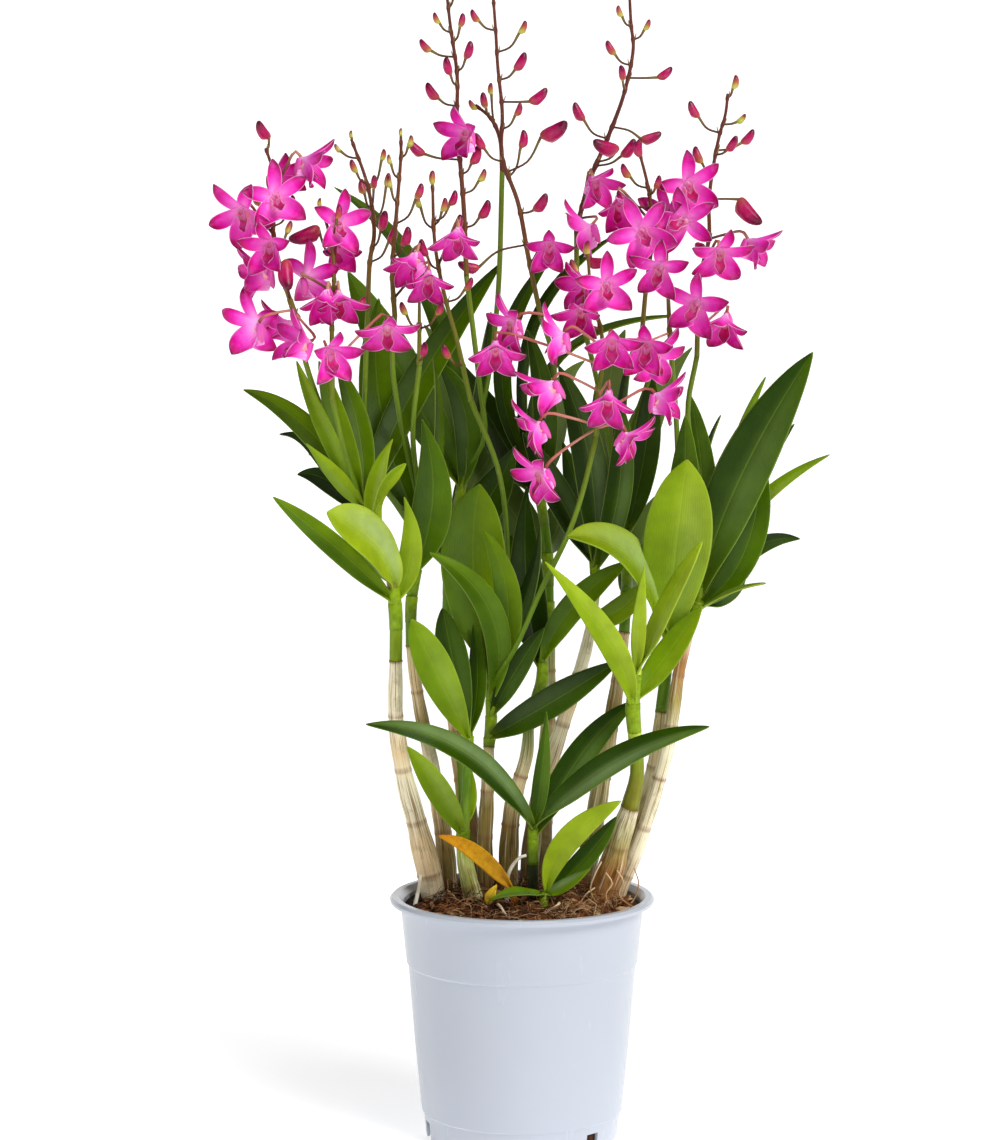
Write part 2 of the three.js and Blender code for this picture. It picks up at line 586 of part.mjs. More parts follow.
// A round stem along a curve: [share of the length, radius] at each station, pointed ends.
function tube(curve, girth, sides) {
  const [first, last] = [girth[0], girth[girth.length - 1]];
  const outline = [[first[0], 0], ...girth, [last[0], 0]];
  const lathe = new THREE.LatheGeometry(
    outline.map(([share, radius]) => new THREE.Vector2(radius, share)),
    sides,
  );
  const chord = curve.getPoint(1).sub(curve.getPoint(0));
  const across = Math.abs(chord.y) < 0.7 * chord.length()
    ? new THREE.Vector3(0, 1, 0)
    : new THREE.Vector3(1, 0, 0);
  return shaped(lathe, (vertex) => {
    const tangent = curve.getTangentAt(vertex.y);
    const side = new THREE.Vector3().crossVectors(tangent, across).normalize();
    const rise = new THREE.Vector3().crossVectors(side, tangent);
    const centre = curve.getPointAt(vertex.y);
    vertex.copy(centre.addScaledVector(side, vertex.x).addScaledVector(rise, vertex.z));
  });
}

// Repeatable small differences between one bloom and the next: a plain linear congruential
// generator of numbers from 0 to 1.
const DRAW = { factor: 1103515245, step: 12345, modulus: 2 ** 31 };

function seeded(seed) {
  let state = seed;
  return () => {
    state = (state * DRAW.factor + DRAW.step) % DRAW.modulus;
    return state / DRAW.modulus;
  };
}

// ---------------------------------------------------------------- pot and mix

// The wall's outside before its steps, and its inside, as radii at a height.
function wallOutside(z) {
  const top = POT.height - POT.rimDepth;
  return POT.footRadius + ((POT.shoulderRadius - POT.footRadius) * z) / top;
}

function wallInside(z) {
  const top = POT.height - POT.rimDepth;
  const bottom = POT.footRadius - POT.footIn - POT.wall;
  return bottom + ((POT.shoulderRadius - POT.wall - bottom) * (z - POT.floor)) / (top - POT.floor);
}

function potWall() {
  const { height, rimRadius, rimDepth, mouthRadius, shoulderRadius, stepDepth, stepIn } = POT;
  const { footRadius, footHeight, footIn, floor, padRadius } = POT;
  const step = height - stepDepth;
  const foot = footRadius - footIn;
  const outline = [
    [0, 0], [padRadius - 1, 0], [padRadius, 1.2], [foot - 1.6, 1.2], [foot - 1, 0], [foot, 0],
    [wallOutside(footHeight) - footIn, footHeight], [wallOutside(footHeight + 1), footHeight + 1],
    [wallOutside(step) - stepIn, step - 1], [wallOutside(step), step],
    [shoulderRadius, height - rimDepth], [rimRadius - 0.3, height - rimDepth],
    [rimRadius, height - 1.2], [rimRadius - 1.2, height], [mouthRadius, height],
    [wallInside(height - rimDepth), height - rimDepth], [wallInside(floor), floor], [0, floor],
  ];
  return solidOf(new THREE.LatheGeometry(outline.map(([r, z]) => new THREE.Vector2(r, z)), POT.sides)
    .rotateX(Math.PI / 2));
}

function pot() {
  let body = potWall();
  for (let i = 0; i < SLOT.count; i += 1) {
    const slot = new THREE.BoxGeometry(SLOT.width, SLOT.depth, SLOT.height * 2);
    slot.translate(0, -POT.footRadius, 0);
    slot.rotateZ((i / SLOT.count) * Math.PI * 2 + SLOT.turn);
    body = body.subtract(solidOf(slot));
  }
  return body;
}

// The heaped surface of the mix: higher behind the middle, uneven all over.
function mixSurface(x, y) {
  const share = Math.hypot(x, y) / wallInside(MIX.rimLevel);
  const heap = MIX.crown * Math.max(0, 1 - share * share) * (1 + 0.4 * Math.tanh(y / 20));
  const lumps = Math.sin(x * 0.31 + 1.7) * Math.cos(y * 0.27) + 0.6 * Math.sin(x * 0.62 - y * 0.53);
  return MIX.rimLevel + heap + MIX.relief * 0.6 * lumps * Math.max(0, 1 - share ** 6);
}

function mix() {
  const bottom = POT.floor + MIX.gap;
  const side = (z) => wallInside(z) - MIX.gap;
  const rings = [0.75, 0.4].map((share) => [share * side(MIX.rimLevel), MIX.rimLevel]);
  const outline = [
    [0, bottom], [side(bottom), bottom], [side(MIX.rimLevel), MIX.rimLevel], ...rings,
    [0, MIX.rimLevel],
  ];
  const lathe = new THREE.LatheGeometry(outline.map(([r, z]) => new THREE.Vector2(r, z)), MIX.sides)
    .rotateX(Math.PI / 2);
  return solidOf(shaped(lathe, (vertex) => {
    if (vertex.z > MIX.rimLevel - 0.1) vertex.z = mixSurface(vertex.x, vertex.y);
  }));
}

// ---------------------------------------------------------------- canes

function girthOf(length, radii) {
  const joints = Math.max(2, Math.round(length / NODE_SPACING));
  const stations = joints * 2;
  return Array.from({ length: stations + 1 }, (_, i) => {
    const share = i / stations;
    const place = share * (radii.length - 1);
    const low = Math.min(radii.length - 2, Math.floor(place));
    const radius = THREE.MathUtils.lerp(radii[low], radii[low + 1], place - low);
    return [share, radius * (i % 2 ? 1 : NODE_WAIST)];
  });
}

// The places of a stem, with one more straight below the first, down in the mix.
function rooted(places) {
  const points = places.map(at);
  const buried = points[0].clone();
  buried.z -= CANE_DEPTH;
  return [buried, ...points];
}

function cane(places, radii) {
  const curve = new THREE.CatmullRomCurve3(rooted(places), false, 'centripetal');
  return solidOf(tube(curve, girthOf(curve.getLength(), [radii[0] * 0.8, ...radii]), CANE_SIDES));
}

// The plain hole that a stem stands in, from under its buried end to above the mix.
function hole(places, radius) {
  const foot = rooted(places)[0];
  const depth = CANE_DEPTH * 3;
  const corner = (radius + CANE_CLEARANCE) / Math.cos(Math.PI / HOLE_SIDES);
  const drill = new THREE.CylinderGeometry(corner, corner, depth, HOLE_SIDES).rotateX(Math.PI / 2);
  return solidOf(drill.translate(foot.x, foot.y, foot.z + depth / 2 - 1));
}

// ---------------------------------------------------------------- leaves

// Half of a blade's width at a share t of its length, against its greatest half width.
function bladeShape(form, t) {
  const { belly, fullness, base } = FORM[form];
  const body = Math.sin(Math.PI * Math.min(1, t) ** belly) ** fullness;
  const petiole = base * (1 - t) ** 2;
  return petiole + (1 - petiole) * (Number.isNaN(body) ? 0 : body);
}

// The point of a stem's middle line that lies nearest to a place.
function onStem(stem, place) {
  const target = at(place);
  const points = stem.getPoints(60);
  return points.reduce((near, point) => (
    point.distanceTo(target) < near.distanceTo(target) ? point : near
  ));
}

function leafSpine(stem, [base, middle, tip]) {
  const a = onStem(stem, base);
  const [m, b] = [middle, tip].map(at);
  const control = m.clone().multiplyScalar(2).addScaledVector(a, -0.5).addScaledVector(b, -0.5);
  return new THREE.QuadraticBezierCurve3(a, control, b);
}

// A blade is a three-sided spindle pressed flat: two of its corners are the edges of the blade,
// raised a little, and the third is the keel under the midrib.
function leaf([form, width, look, ...places], stem) {
  const spine = leafSpine(stem, places);
  const rows = spine.getLength() > LONG_LEAF ? LONG_ROWS : ROWS;
  const outline = [[0, 0], ...rows.map((t) => [1, t]), [0, 1]];
  const spindle = new THREE.LatheGeometry(outline.map(([r, t]) => new THREE.Vector2(r, t)), 3);
  const edge = Math.sin(Math.PI / 3);
  const facing = new THREE.Vector3(...LOOK[look]).normalize();
  return solidOf(shaped(spindle, (vertex) => {
    const tangent = spine.getTangent(vertex.y);
    const up = facing.clone().addScaledVector(tangent, -facing.dot(tangent)).normalize();
    const side = new THREE.Vector3().crossVectors(tangent, up);
    const half = (width / 2) * bladeShape(form, vertex.y);
    const across = (vertex.x / edge) * half;
    const keel = Math.max(0, vertex.z) * KEEL_THICKNESS;
    const centre = spine.getPoint(vertex.y);
    centre.addScaledVector(side, across * Math.cos(LEAF_FOLD));
    vertex.copy(centre.addScaledVector(up, Math.abs(across) * Math.sin(LEAF_FOLD) - keel));
  }));
}

function plainGirth(radii) {
  return radii.map((radius, i) => [i / (radii.length - 1), radius]);
}

function leafyStem([, places, radii, leaves, stalks]) {
  const line = through(places);
  const stem = solidOf(tube(line, plainGirth(radii), CANE_SIDES));
  const peduncles = stalks.map(([first, ...rest]) => {
    const girth = plainGirth(Array(rest.length + 2).fill(PEDUNCLE_RADIUS));
    const path = [onStem(line, first), ...rest.map(at)];
    const curve = new THREE.CatmullRomCurve3(path, false, 'centripetal');
    return solidOf(tube(curve, girth, STALK_SIDES));
  });
  return fused([stem, ...leaves.map((row) => leaf(row, line)), ...peduncles]);
}

// ---------------------------------------------------------------- blooms and buds

// The star of five tepals, half open: its notches lie behind the middle and its tips forward.
const STAR = { tepals: 5, notch: 0.42, cup: 0.7, level: 0.45 };

function tepals(radius) {
  const corners = Array.from({ length: STAR.tepals * 2 }, (_, i) => {
    const turn = (i / STAR.tepals) * Math.PI + Math.PI / 2;
    const reach = radius * (i % 2 ? STAR.notch : 1);
    return new THREE.Vector2(Math.cos(turn) * reach, Math.sin(turn) * reach);
  });
  const star = new THREE.ExtrudeGeometry(new THREE.Shape(corners), {
    depth: TEPAL_THICKNESS,
    bevelEnabled: false,
  });
  return shaped(star, (vertex) => {
    vertex.z += (Math.hypot(vertex.x, vertex.y) - radius * STAR.level) * STAR.cup;
  });
}

// Turns a form made about the z axis to face a direction, its own top kept uppermost.
function facingMatrix(centre, facing, spin) {
  const ahead = facing.clone().normalize();
  const right = new THREE.Vector3(0, 0, 1).cross(ahead).normalize();
  const top = new THREE.Vector3().crossVectors(ahead, right);
  const basis = new THREE.Matrix4().makeBasis(right, top, ahead);
  return basis.multiply(new THREE.Matrix4().makeRotationZ(spin)).setPosition(centre);
}

// The pedicel, column and lip are one spindle: thin from the rachis to the back of the star,
// through the star, and swelling to the lip that stands forward of it.
function stalkAndLip(node, centre, facing, radius) {
  const back = centre.clone().addScaledVector(facing, -radius * 0.3);
  const lip = centre.clone().addScaledVector(facing, radius * 0.55);
  const tip = centre.clone().addScaledVector(facing, radius * 0.8).setZ(centre.z - radius * 0.2);
  const curve = new THREE.CatmullRomCurve3([node, back, lip, tip], false, 'centripetal');
  const length = curve.getLength();
  const star = 1 - (radius * 0.8) / length;
  const girth = [
    [0, PEDICEL_RADIUS], [star, PEDICEL_RADIUS * 1.6], [(1 + star) / 2, radius * 0.2], [1, 0],
  ];
  return solidOf(tube(curve, girth, STALK_SIDES));
}

// The point of the rachis at a height read in the front elevation.
function nodeAt(curve, height) {
  const shown = (point) => EYE.z + (point.z - EYE.z) / (1 - point.y / EYE.y);
  const points = curve.getSpacedPoints(60).slice(1, -1);
  return points.reduce((near, point) => (
    Math.abs(shown(point) - height) < Math.abs(shown(near) - height) ? point : near
  ));
}

// The direction of a yaw, 0 to the front and positive to the right, and a pitch upwards.
function aheadOf(yaw, pitch) {
  const [turn, rise] = [yaw, pitch].map(THREE.MathUtils.degToRad);
  return new THREE.Vector3(
    Math.sin(turn) * Math.cos(rise),
    -Math.cos(turn) * Math.cos(rise),
    Math.sin(rise),
  );
}

function bloom([x, z, y, height, yaw, pitch], curve, draw) {
  const centre = at([x, z, y]);
  const node = nodeAt(curve, height);
  const facing = aheadOf(yaw, pitch);
  const turn = facingMatrix(centre, facing, (draw() - 0.5) * 0.6);
  const star = solidOf(tepals(TEPAL_LENGTH).applyMatrix4(turn));
  return [star, stalkAndLip(node, centre, facing, TEPAL_LENGTH)];
}

// A bud and its pedicel are one spindle: thin from the rachis, then swelling to the bud.
function bud([x, z, y, height, size, yaw, pitch], curve) {
  const middle = at([x, z, y]);
  const node = nodeAt(curve, height);
  const length = BUD_LENGTH * size;
  const away = middle.clone().sub(node).normalize().add(new THREE.Vector3(0, 0, 0.5)).normalize();
  const ahead = yaw === undefined ? away : aheadOf(yaw, pitch);
  const foot = middle.clone().addScaledVector(ahead, -length / 2);
  const tip = middle.clone().addScaledVector(ahead, length / 2);
  const path = new THREE.CatmullRomCurve3([node, foot, tip], false, 'centripetal');
  const start = 1 - length / path.getLength();
  const radius = length * 0.24;
  const along = (share) => start + (1 - start) * share;
  const girth = [
    [0, PEDICEL_RADIUS], [along(0), PEDICEL_RADIUS], [along(0.5), radius], [1, 0],
  ];
  return solidOf(tube(path, girth, STALK_SIDES));
}

function spray([, places, blooms, buds], number) {
  const curve = through(places);
  const draw = seeded(number * 97 + 11);
  const stations = places.length;
  const girth = Array.from({ length: stations + 1 }, (_, i) => {
    const share = i / stations;
    return [share, THREE.MathUtils.lerp(PEDUNCLE_RADIUS, RACHIS_TIP_RADIUS, share)];
  });
  const rachis = solidOf(tube(curve, girth, STALK_SIDES));
  const heads = [
    ...blooms.flatMap((row) => bloom(row, curve, draw)),
    ...buds.map((row) => bud(row, curve)),
  ];
  return fused([rachis, ...heads]);
}

// ---------------------------------------------------------------- assembly

const group = new THREE.Group();

group.add(meshOf('pot', pot(), plastic(0xc6d2de, 0.28)));

const soilShoots = LEAFY_STEMS.filter(([, places]) => places[0][1] < MIX.rimLevel);
const drilled = [
  ...CANES.map(([, places, radii]) => hole(places, radii[0])),
  ...soilShoots.map(([, places, radii]) => hole(places, radii[1])),
  ...ROOTS.map(([, places]) => hole(places, ROOT_RADII[1])),
  hole(WITHERED_STEM, WITHERED_RADII[0]),
];
group.add(meshOf('bark_mix', drilled.reduce((body, drill) => body.subtract(drill), mix()),
  plastic(0x6b3d20, 0.95)));

CANES.forEach(([name, places, radii]) => {
  group.add(meshOf(name, cane(places, radii), plastic(0xc4ad84, 0.7)));
});

LEAFY_STEMS.forEach((row) => group.add(meshOf(row[0], leafyStem(row), plastic(0x44701c, 0.45))));

group.add(meshOf('withered_leaf',
  leafyStem(['withered_leaf', WITHERED_STEM, WITHERED_RADII, [WITHERED_LEAF], []]),
  plastic(0xb8923c, 0.85)));

ROOTS.forEach(([name, places]) => {
  const curve = new THREE.CatmullRomCurve3(rooted(places), false, 'centripetal');
  const solid = solidOf(tube(curve, plainGirth(ROOT_RADII), STALK_SIDES));
  group.add(meshOf(name, solid, plastic(0xe6e0cc, 0.8)));
});

SPRAYS.forEach((row, i) => group.add(meshOf(row[0], spray(row, i + 1), plastic(0xd81c96, 0.5))));

export default group;
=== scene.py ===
"""A dendrobium orchid in full flower, in its plastic grower's pot.

Every piece here takes the place of one solid of the model and keeps its form: the pot, the bark
mix, twelve old canes, fourteen leafy stems, fourteen flower sprays, a withered leaf and two roots.
"""

import math
import random

import bpy
from mathutils import Matrix, Vector, noise
from mathutils.geometry import interpolate_bezier


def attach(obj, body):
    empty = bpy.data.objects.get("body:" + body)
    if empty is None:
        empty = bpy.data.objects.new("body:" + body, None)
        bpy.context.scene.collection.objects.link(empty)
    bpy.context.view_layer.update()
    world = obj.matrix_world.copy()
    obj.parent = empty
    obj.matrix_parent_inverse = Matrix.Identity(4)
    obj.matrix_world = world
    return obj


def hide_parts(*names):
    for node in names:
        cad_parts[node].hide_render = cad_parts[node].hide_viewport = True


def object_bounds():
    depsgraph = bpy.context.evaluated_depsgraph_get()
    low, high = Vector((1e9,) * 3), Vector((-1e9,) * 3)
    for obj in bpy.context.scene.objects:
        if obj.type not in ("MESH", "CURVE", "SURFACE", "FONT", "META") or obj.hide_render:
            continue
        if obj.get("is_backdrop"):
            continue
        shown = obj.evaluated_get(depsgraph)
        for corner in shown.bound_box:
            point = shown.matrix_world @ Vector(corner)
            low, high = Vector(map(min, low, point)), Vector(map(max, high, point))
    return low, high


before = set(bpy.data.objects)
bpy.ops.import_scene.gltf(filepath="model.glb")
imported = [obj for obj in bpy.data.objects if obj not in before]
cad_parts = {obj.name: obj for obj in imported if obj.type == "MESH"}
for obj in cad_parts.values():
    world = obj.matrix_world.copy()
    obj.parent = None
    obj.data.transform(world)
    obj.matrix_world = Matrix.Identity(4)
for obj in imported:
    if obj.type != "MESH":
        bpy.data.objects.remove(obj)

CAD_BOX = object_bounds()

bl_info = {
    "name": "Potted dendrobium orchid",
    "version": (1, 0, 0),
    "blender": (4, 5, 0),
    "location": "3D View > Sidebar > Orchid",
    "description": "Models a dendrobium orchid in flower in its grower's pot",
    "category": "Add Mesh",
}

MM = 0.001

# ---------------------------------------------------------------- colours


def colour(red, green, blue):
    """A colour given as it shows on a screen, 0 to 255, as linear light."""
    def linear(channel):
        share = channel / 255
        return share / 12.92 if share <= 0.04045 else ((share + 0.055) / 1.055) ** 2.4
    return (linear(red), linear(green), linear(blue), 1.0)


def grey(level):
    return (level, level, level, 1.0)


def mixed(low, high, share):
    """The colour at a share of the way from one colour to another."""
    share = min(1.0, max(0.0, share))
    return tuple(a + (b - a) * share for a, b in zip(low, high))


def along_stops(stops, share):
    """The colour at a share of the way through evenly spaced colours."""
    place = min(0.9999, max(0.0, share)) * (len(stops) - 1)
    return mixed(stops[int(place)], stops[int(place) + 1], place - int(place))


PLASTIC = colour(187, 192, 202)
WHITE = grey(1.0)
BARK = (colour(28, 15, 10), colour(80, 44, 26), colour(182, 116, 64), colour(246, 204, 150))
# The darkest stop also serves as painted shade for the leaves deep in the plant.
LEAF = (colour(10, 24, 0), colour(42, 70, 0), colour(90, 126, 0), colour(134, 164, 4),
        colour(174, 200, 38))
# A painted sheen: a pale grey-green band that stands in for light reflected off a leaf's upper side.
PAINTED_SHEEN = colour(176, 200, 146)
CREAM, TAN, OLIVE = colour(254, 244, 210), colour(236, 208, 160), colour(208, 198, 144)
GREEN, LIME, BROWN = colour(96, 134, 22), colour(160, 194, 52), colour(146, 98, 60)
SAP, MOSS, SPRING = colour(130, 156, 22), colour(142, 142, 38), colour(216, 240, 84)
STRIPED, RUST, AMBER = colour(190, 196, 104), colour(176, 108, 52), colour(190, 134, 70)
# The last two colours on the next line are painted shade: a shaded khaki, and a deeper shade for the
# feet of the inner canes.
KHAKI, PAINTED_SHADE_KHAKI, PAINTED_SHADE_FOOT = colour(180, 162, 84), colour(146, 124, 60), colour(104, 84, 38)
# Painted shade: the dark green at the foot of a stem deep in the plant.
PAINTED_SHADE_GREEN = colour(46, 54, 18)
RACHIS = (colour(116, 140, 36), colour(122, 118, 38), colour(122, 76, 44), colour(108, 54, 44))
PEDICEL = (colour(196, 140, 100), colour(226, 160, 140), colour(214, 130, 116), colour(150, 66, 56))
BUD_STALK = (colour(84, 52, 38), colour(104, 70, 42), colour(138, 118, 60))
BLOOM_STALK = (colour(84, 52, 38), colour(112, 70, 50), colour(176, 116, 92), colour(222, 160, 128))
BRACT = (colour(120, 84, 52), colour(176, 150, 96))
BUD = (colour(146, 170, 36), colour(200, 200, 84), colour(178, 84, 60), colour(184, 22, 92),
       colour(172, 0, 84))
BUD_TIP = colour(54, 6, 20)
PETAL = (colour(255, 188, 240), colour(246, 88, 210), colour(228, 12, 172), colour(192, 0, 106),
         colour(96, 0, 44))
LIP = (colour(250, 206, 214), colour(190, 20, 96), colour(142, 4, 62))
CALLUS = colour(250, 222, 160)
CHIN = (colour(232, 84, 190), colour(238, 100, 194), colour(232, 108, 176))
COLUMN = (colour(246, 190, 224), colour(252, 226, 236), colour(196, 60, 110))
WITHERED = (colour(234, 154, 22), colour(206, 152, 18), colour(178, 126, 24))
SCRAP_YELLOW = colour(246, 204, 48)
ROOT = colour(232, 226, 208)

# ---------------------------------------------------------------- sizes, in millimetres

POT_HEIGHT, RIM_RADIUS, RIM_DEPTH, MOUTH_RADIUS = 110, 60, 2.6, 56
RIM_CHAMFER, RIM_TAPER = 1.2, 0.3
SHOULDER_RADIUS, STEP_DEPTH, STEP_IN = 55.3, 30, 0.8
FOOT_RADIUS, FOOT_HEIGHT, FOOT_IN = 44.6, 11, 0.9
WALL, FLOOR, PAD_RADIUS = 1.5, 2.4, 40
PAD_RISE = 1.2           # of the underside between its flat pad and its outer ring
RING_WIDTH, RING_SLOPE = 1, 0.6
SLOT_COUNT, SLOT_WIDTH, SLOT_HEIGHT, SLOT_DEPTH, SLOT_TURN = 6, 7, 8, 9, -math.pi / 12
EDGE_ANGLE, SMOOTH_ANGLE = math.radians(28), math.radians(40)

MIX_LEVEL, MIX_CROWN, MIX_RELIEF, MIX_GAP = 103.5, 3.5, 1.1, 0.3
MIX_BANK = 2.4           # how high loose bits are banked up against the wall
MIX_SIDES, MIX_RINGS = 72, 22
CRUMBS = ((0, 0.35, 1.4), (9, 0.9, 0.8))       # layers of noise: seed, fineness, height
# Loose bits: the range of their length, breadth and height, and of how high they lie.
CHIP_SIZE, CHIP_LIFT = ((1.4, 5.0), (1.0, 3.0), (0.6, 1.6)), (-0.4, 1.4)
FIBRE_SIZE, FIBRE_LIFT = ((7, 18), (9, 15), (8, 13)), (0.4, 2.4)
FIBRE_BENDS = ((0.12, 0.45), (0.3, 0.45), (0.75, 0.1))    # how far they bow, share of all
CLEAR_OF_WALL = 3        # between the wall and the middle of the nearest bit
BIT_PITCH, BIT_ROLL = 0.25, 0.5         # how much bits are tipped, as a spread in radians

CANE_DEPTH = 14          # how deep a cane stands in the mix
CANE_FOOT = 0.8          # the width of its buried end against its width at the mix
CANE_RING = 1.3          # between the rings of its mesh
JOINT_SPACING, JOINT_WAIST = 24, 0.92
JOINT_RIDGE, RIDGE_REACH = 0.35, 1.2           # the ring that stands proud at a joint
JOINT_STAIN, STAIN_REACH = 0.8, 1.6            # and its brown edge
OVERLAP = 1.2            # how far a spray or a leafy stem starts inside the stem that carries it

LEAF_THICKNESS = 0.9
# Radians that each half of a blade is raised, at large and at its base, and the base's share.
LEAF_FOLD, BASE_FOLD, BASE_REACH = 0.2, 1.05, 0.3
LEAF_TWIST, LEAF_WAVE = 0.25, 0.05
TONE_SPREAD, PAINTED_LIGHT_SIDE = 0.06, 0.16     # how far tones differ among leaves, and between the halves of one: a painted lit half and a painted shaded half
# How strong the painted sheen is on leaves that face up, and on the others.
PAINTED_SHEEN_FACING_UP, PAINTED_SHEEN_ELSEWHERE = (0.6, 0.9), (0, 0.32)
PAINTED_SHEEN_SIDES, PAINTED_SHEEN_WIDTH = (0.28, 0.72), 0.22      # the painted sheen lies on one half of a blade
PALE_FOOT, FOOT_REACH = 0.35, 0.12      # how pale a blade is at its foot, and for what share
SHEATH_LENGTH, SHEATH_THICKNESS, SHEATH_FLARE = 12, 0.15, 0.3

PEDUNCLE_RADIUS, RACHIS_TIP_RADIUS, PEDICEL_RADIUS = 1.2, 0.65, 0.6
RACHIS_RING = 1.2
GREEN_BELOW, GREEN_FADE = 330, 120      # the heights over which a rachis turns maroon
TEPAL_THICKNESS, TEPAL_CUP = 0.45, 0.7
# A petal's outline: how far out it is widest, how full it is and how broad its foot stays.
TEPAL_BELLY, TEPAL_FULLNESS, TEPAL_FOOT = 1.35, 0.58, 0.45
BLOOM_STAGES = (0.5, 0.74, 1.0)    # how far open: half shut, open, wide open
BLOOM_KINDS = 3          # blooms of each stage that differ a little from each other
BLOOM_SIZES, BLOOM_TONE, BLOOM_ROLL = (0.9, 1.03), 0.12, 6      # how far blooms differ
# Degrees by which a petal is turned out at its foot and at its tip: when shut, what opening adds,
# and how far petals differ.
TEPAL_TURNS = ((8, 46, 5), (-6, 86, 12))
# How far petals differ in azimuth, in degrees, and in length and width.
TEPAL_SWING, TEPAL_LENGTHS, TEPAL_WIDTHS = 7, (0.95, 1.03), (0.94, 1.08)
# Shares of a petal's length: the tip of the chin, and the lip's half widths from claw to tip.
CHIN_POINT = Vector((0, -0.46, -0.04))
LIP_WIDTHS = (0.05, 0.1, 0.2, 0.24, 0.13, 0.15, 0.18, 0.12, 0.03)
LOBE_PLACE, LOBE_STEEPNESS = 0.35, 3.6  # where the lip's side lobes are, how fast they end
BLOOM_SETBACK = 0.42     # from the middle of a bloom back to its base, against its petals
ARCH_BEHIND, ARCH_ABOVE = 3, 2.4        # where a pedicel arches over to a bloom's back
HANGING_BELOW = 375      # blooms under this height hang on pale pedicels
BUD_LENGTH, BUD_WIDTH = 9.4, 0.46       # the width is a share of the length, as are the next
BUD_KNEE, KNEE_PLACE, KNEE_REACH = 0.07, 0.24, 0.16     # the bulge at the lower side of its foot
BUD_BOW, BUD_HOOK = 0.09, 0.05          # how far its middle sinks and its tip rises
BUD_STAGES, BUD_SEAMS = (0.0, 0.3, 0.65, 1.0), 3        # how ripe, and seams round a bud
GREEN_SIZE, RIPENING, RIPE_SPREAD = 0.52, 0.4, 0.2        # buds ripen as they grow
BRACT_LENGTH, NODE_SWELL, NODE_REACH = 3.2, 0.35, 1.6

TANGENT_REACH, NEAREST_STEPS, HEIGHT_STEPS, LEAF_POINTS = 0.02, 80, 60, 17

FLOOR_REACH, FLOOR_BEND = 4.9, 2.3       # in metres: how far it goes, where it begins to rise
CAMERA_TILT, CAMERA_LENS = math.radians(84.9), 91.64
# Lights, in metres: what they point at, and where each stands and how broad it is.
LAMP_AIM = Vector((0, 0, 0.25))
DAYLIGHT_PLACE, DAYLIGHT_BREADTH = (1.3, -1.3, 2.0), math.radians(30)
LAMPS = (
    ("key", (1.3, -1.5, 1.7), 0.8),
    ("top", (0.2, -0.5, 2.2), 1.1),
    ("fill", (-1.7, -1.3, 0.9), 1.0),
)

# Places are (x, z, y) in millimetres: x and z as read in a front elevation on the plane y = 0,
# seen from the eye point, and y, the true depth behind that plane.
EYE = Vector((-10, -1300, 374)) * MM

# The way that the upper side of a leaf faces.
LOOK = {
    "front": (0, -1, 0.35),
    "back": (0, 1, 0.35),
    "sky": (0, -0.35, 1),
    "left": (-0.75, -0.6, 0.3),
    "right": (0.75, -0.6, 0.3),
    "brow": (0, -0.8, 0.75),
}

# The shape of a blade: where it is widest, how full it is, how wide its base is.
FORM = {"strap": (0.95, 0.7, 0.3), "lance": (0.75, 0.95, 0.35), "oval": (1.35, 0.62, 0.2)}

# ---------------------------------------------------------------- the plant's tables

# Old canes: name, places from the mix upwards, and radii at those places.
CANES = (
    ("cane_1", (
        (-40, 108, 12), (-47, 140, 9), (-53, 163, 6), (-57, 190, 2), (-57, 217, -2),
    ), (6.2, 5.0, 4.1, 3.6, 3.1)),
    ("cane_2", (
        (-33, 109, 22), (-36, 140, 22), (-41, 170, 22), (-47, 200, 19), (-50, 224, 16),
    ), (4.6, 4.0, 3.4, 3.0, 2.7)),
    ("cane_3", (
        (-22, 107, 6), (-24, 116, 5), (-26, 126, 4), (-27, 134, 3),
    ), (5.2, 4.4, 3.8, 3.2)),
    ("cane_4", (
        (-16, 109, 18), (-17, 130, 18), (-16, 152, 17), (-15, 178, 16),
    ), (4.0, 3.8, 3.2, 2.6)),
    ("cane_5", (
        (-6, 110, 17), (-6, 130, 17), (-4, 152, 16), (2, 174, 15), (3, 187, 14),
    ), (4.8, 4.6, 4.0, 3.2, 2.6)),
    ("cane_6", (
        (3, 110, 28), (4, 130, 28), (8, 155, 28), (18, 187, 28), (28, 219, 28), (31, 233, 28),
    ), (4.6, 4.3, 4.0, 3.6, 3.2, 2.6)),
    ("cane_7", (
        (36, 108, 8), (41, 124, 6), (45, 138, 3), (49, 150, 0),
    ), (7.0, 6.2, 5.4, 4.5)),
    ("cane_8", (
        (38, 110, 27), (46, 128, 27), (54, 148, 24), (60, 170, 21), (63, 194, 19),
    ), (4.8, 4.4, 4.0, 3.5, 3.0)),
    ("cane_9", (
        (44, 109, 17), (51, 128, 16), (58, 149, 14), (66, 179, 12), (71, 213, 12), (76, 234, 13),
    ), (3.6, 3.4, 3.3, 3.2, 2.9, 2.5)),
    ("cane_10", (
        (-19, 111, 36), (-25, 150, 44), (-31, 195, 52), (-34, 228, 56),
    ), (5.0, 4.4, 3.6, 2.7)),
    ("cane_11", (
        (8, 111, 40), (10, 150, 48), (12, 200, 54), (12, 235, 56),
    ), (4.8, 4.2, 3.5, 2.7)),
    ("cane_12", (
        (28, 110, 36), (34, 150, 42), (42, 200, 47), (46, 230, 48),
    ), (5.0, 4.4, 3.6, 2.7)),
)
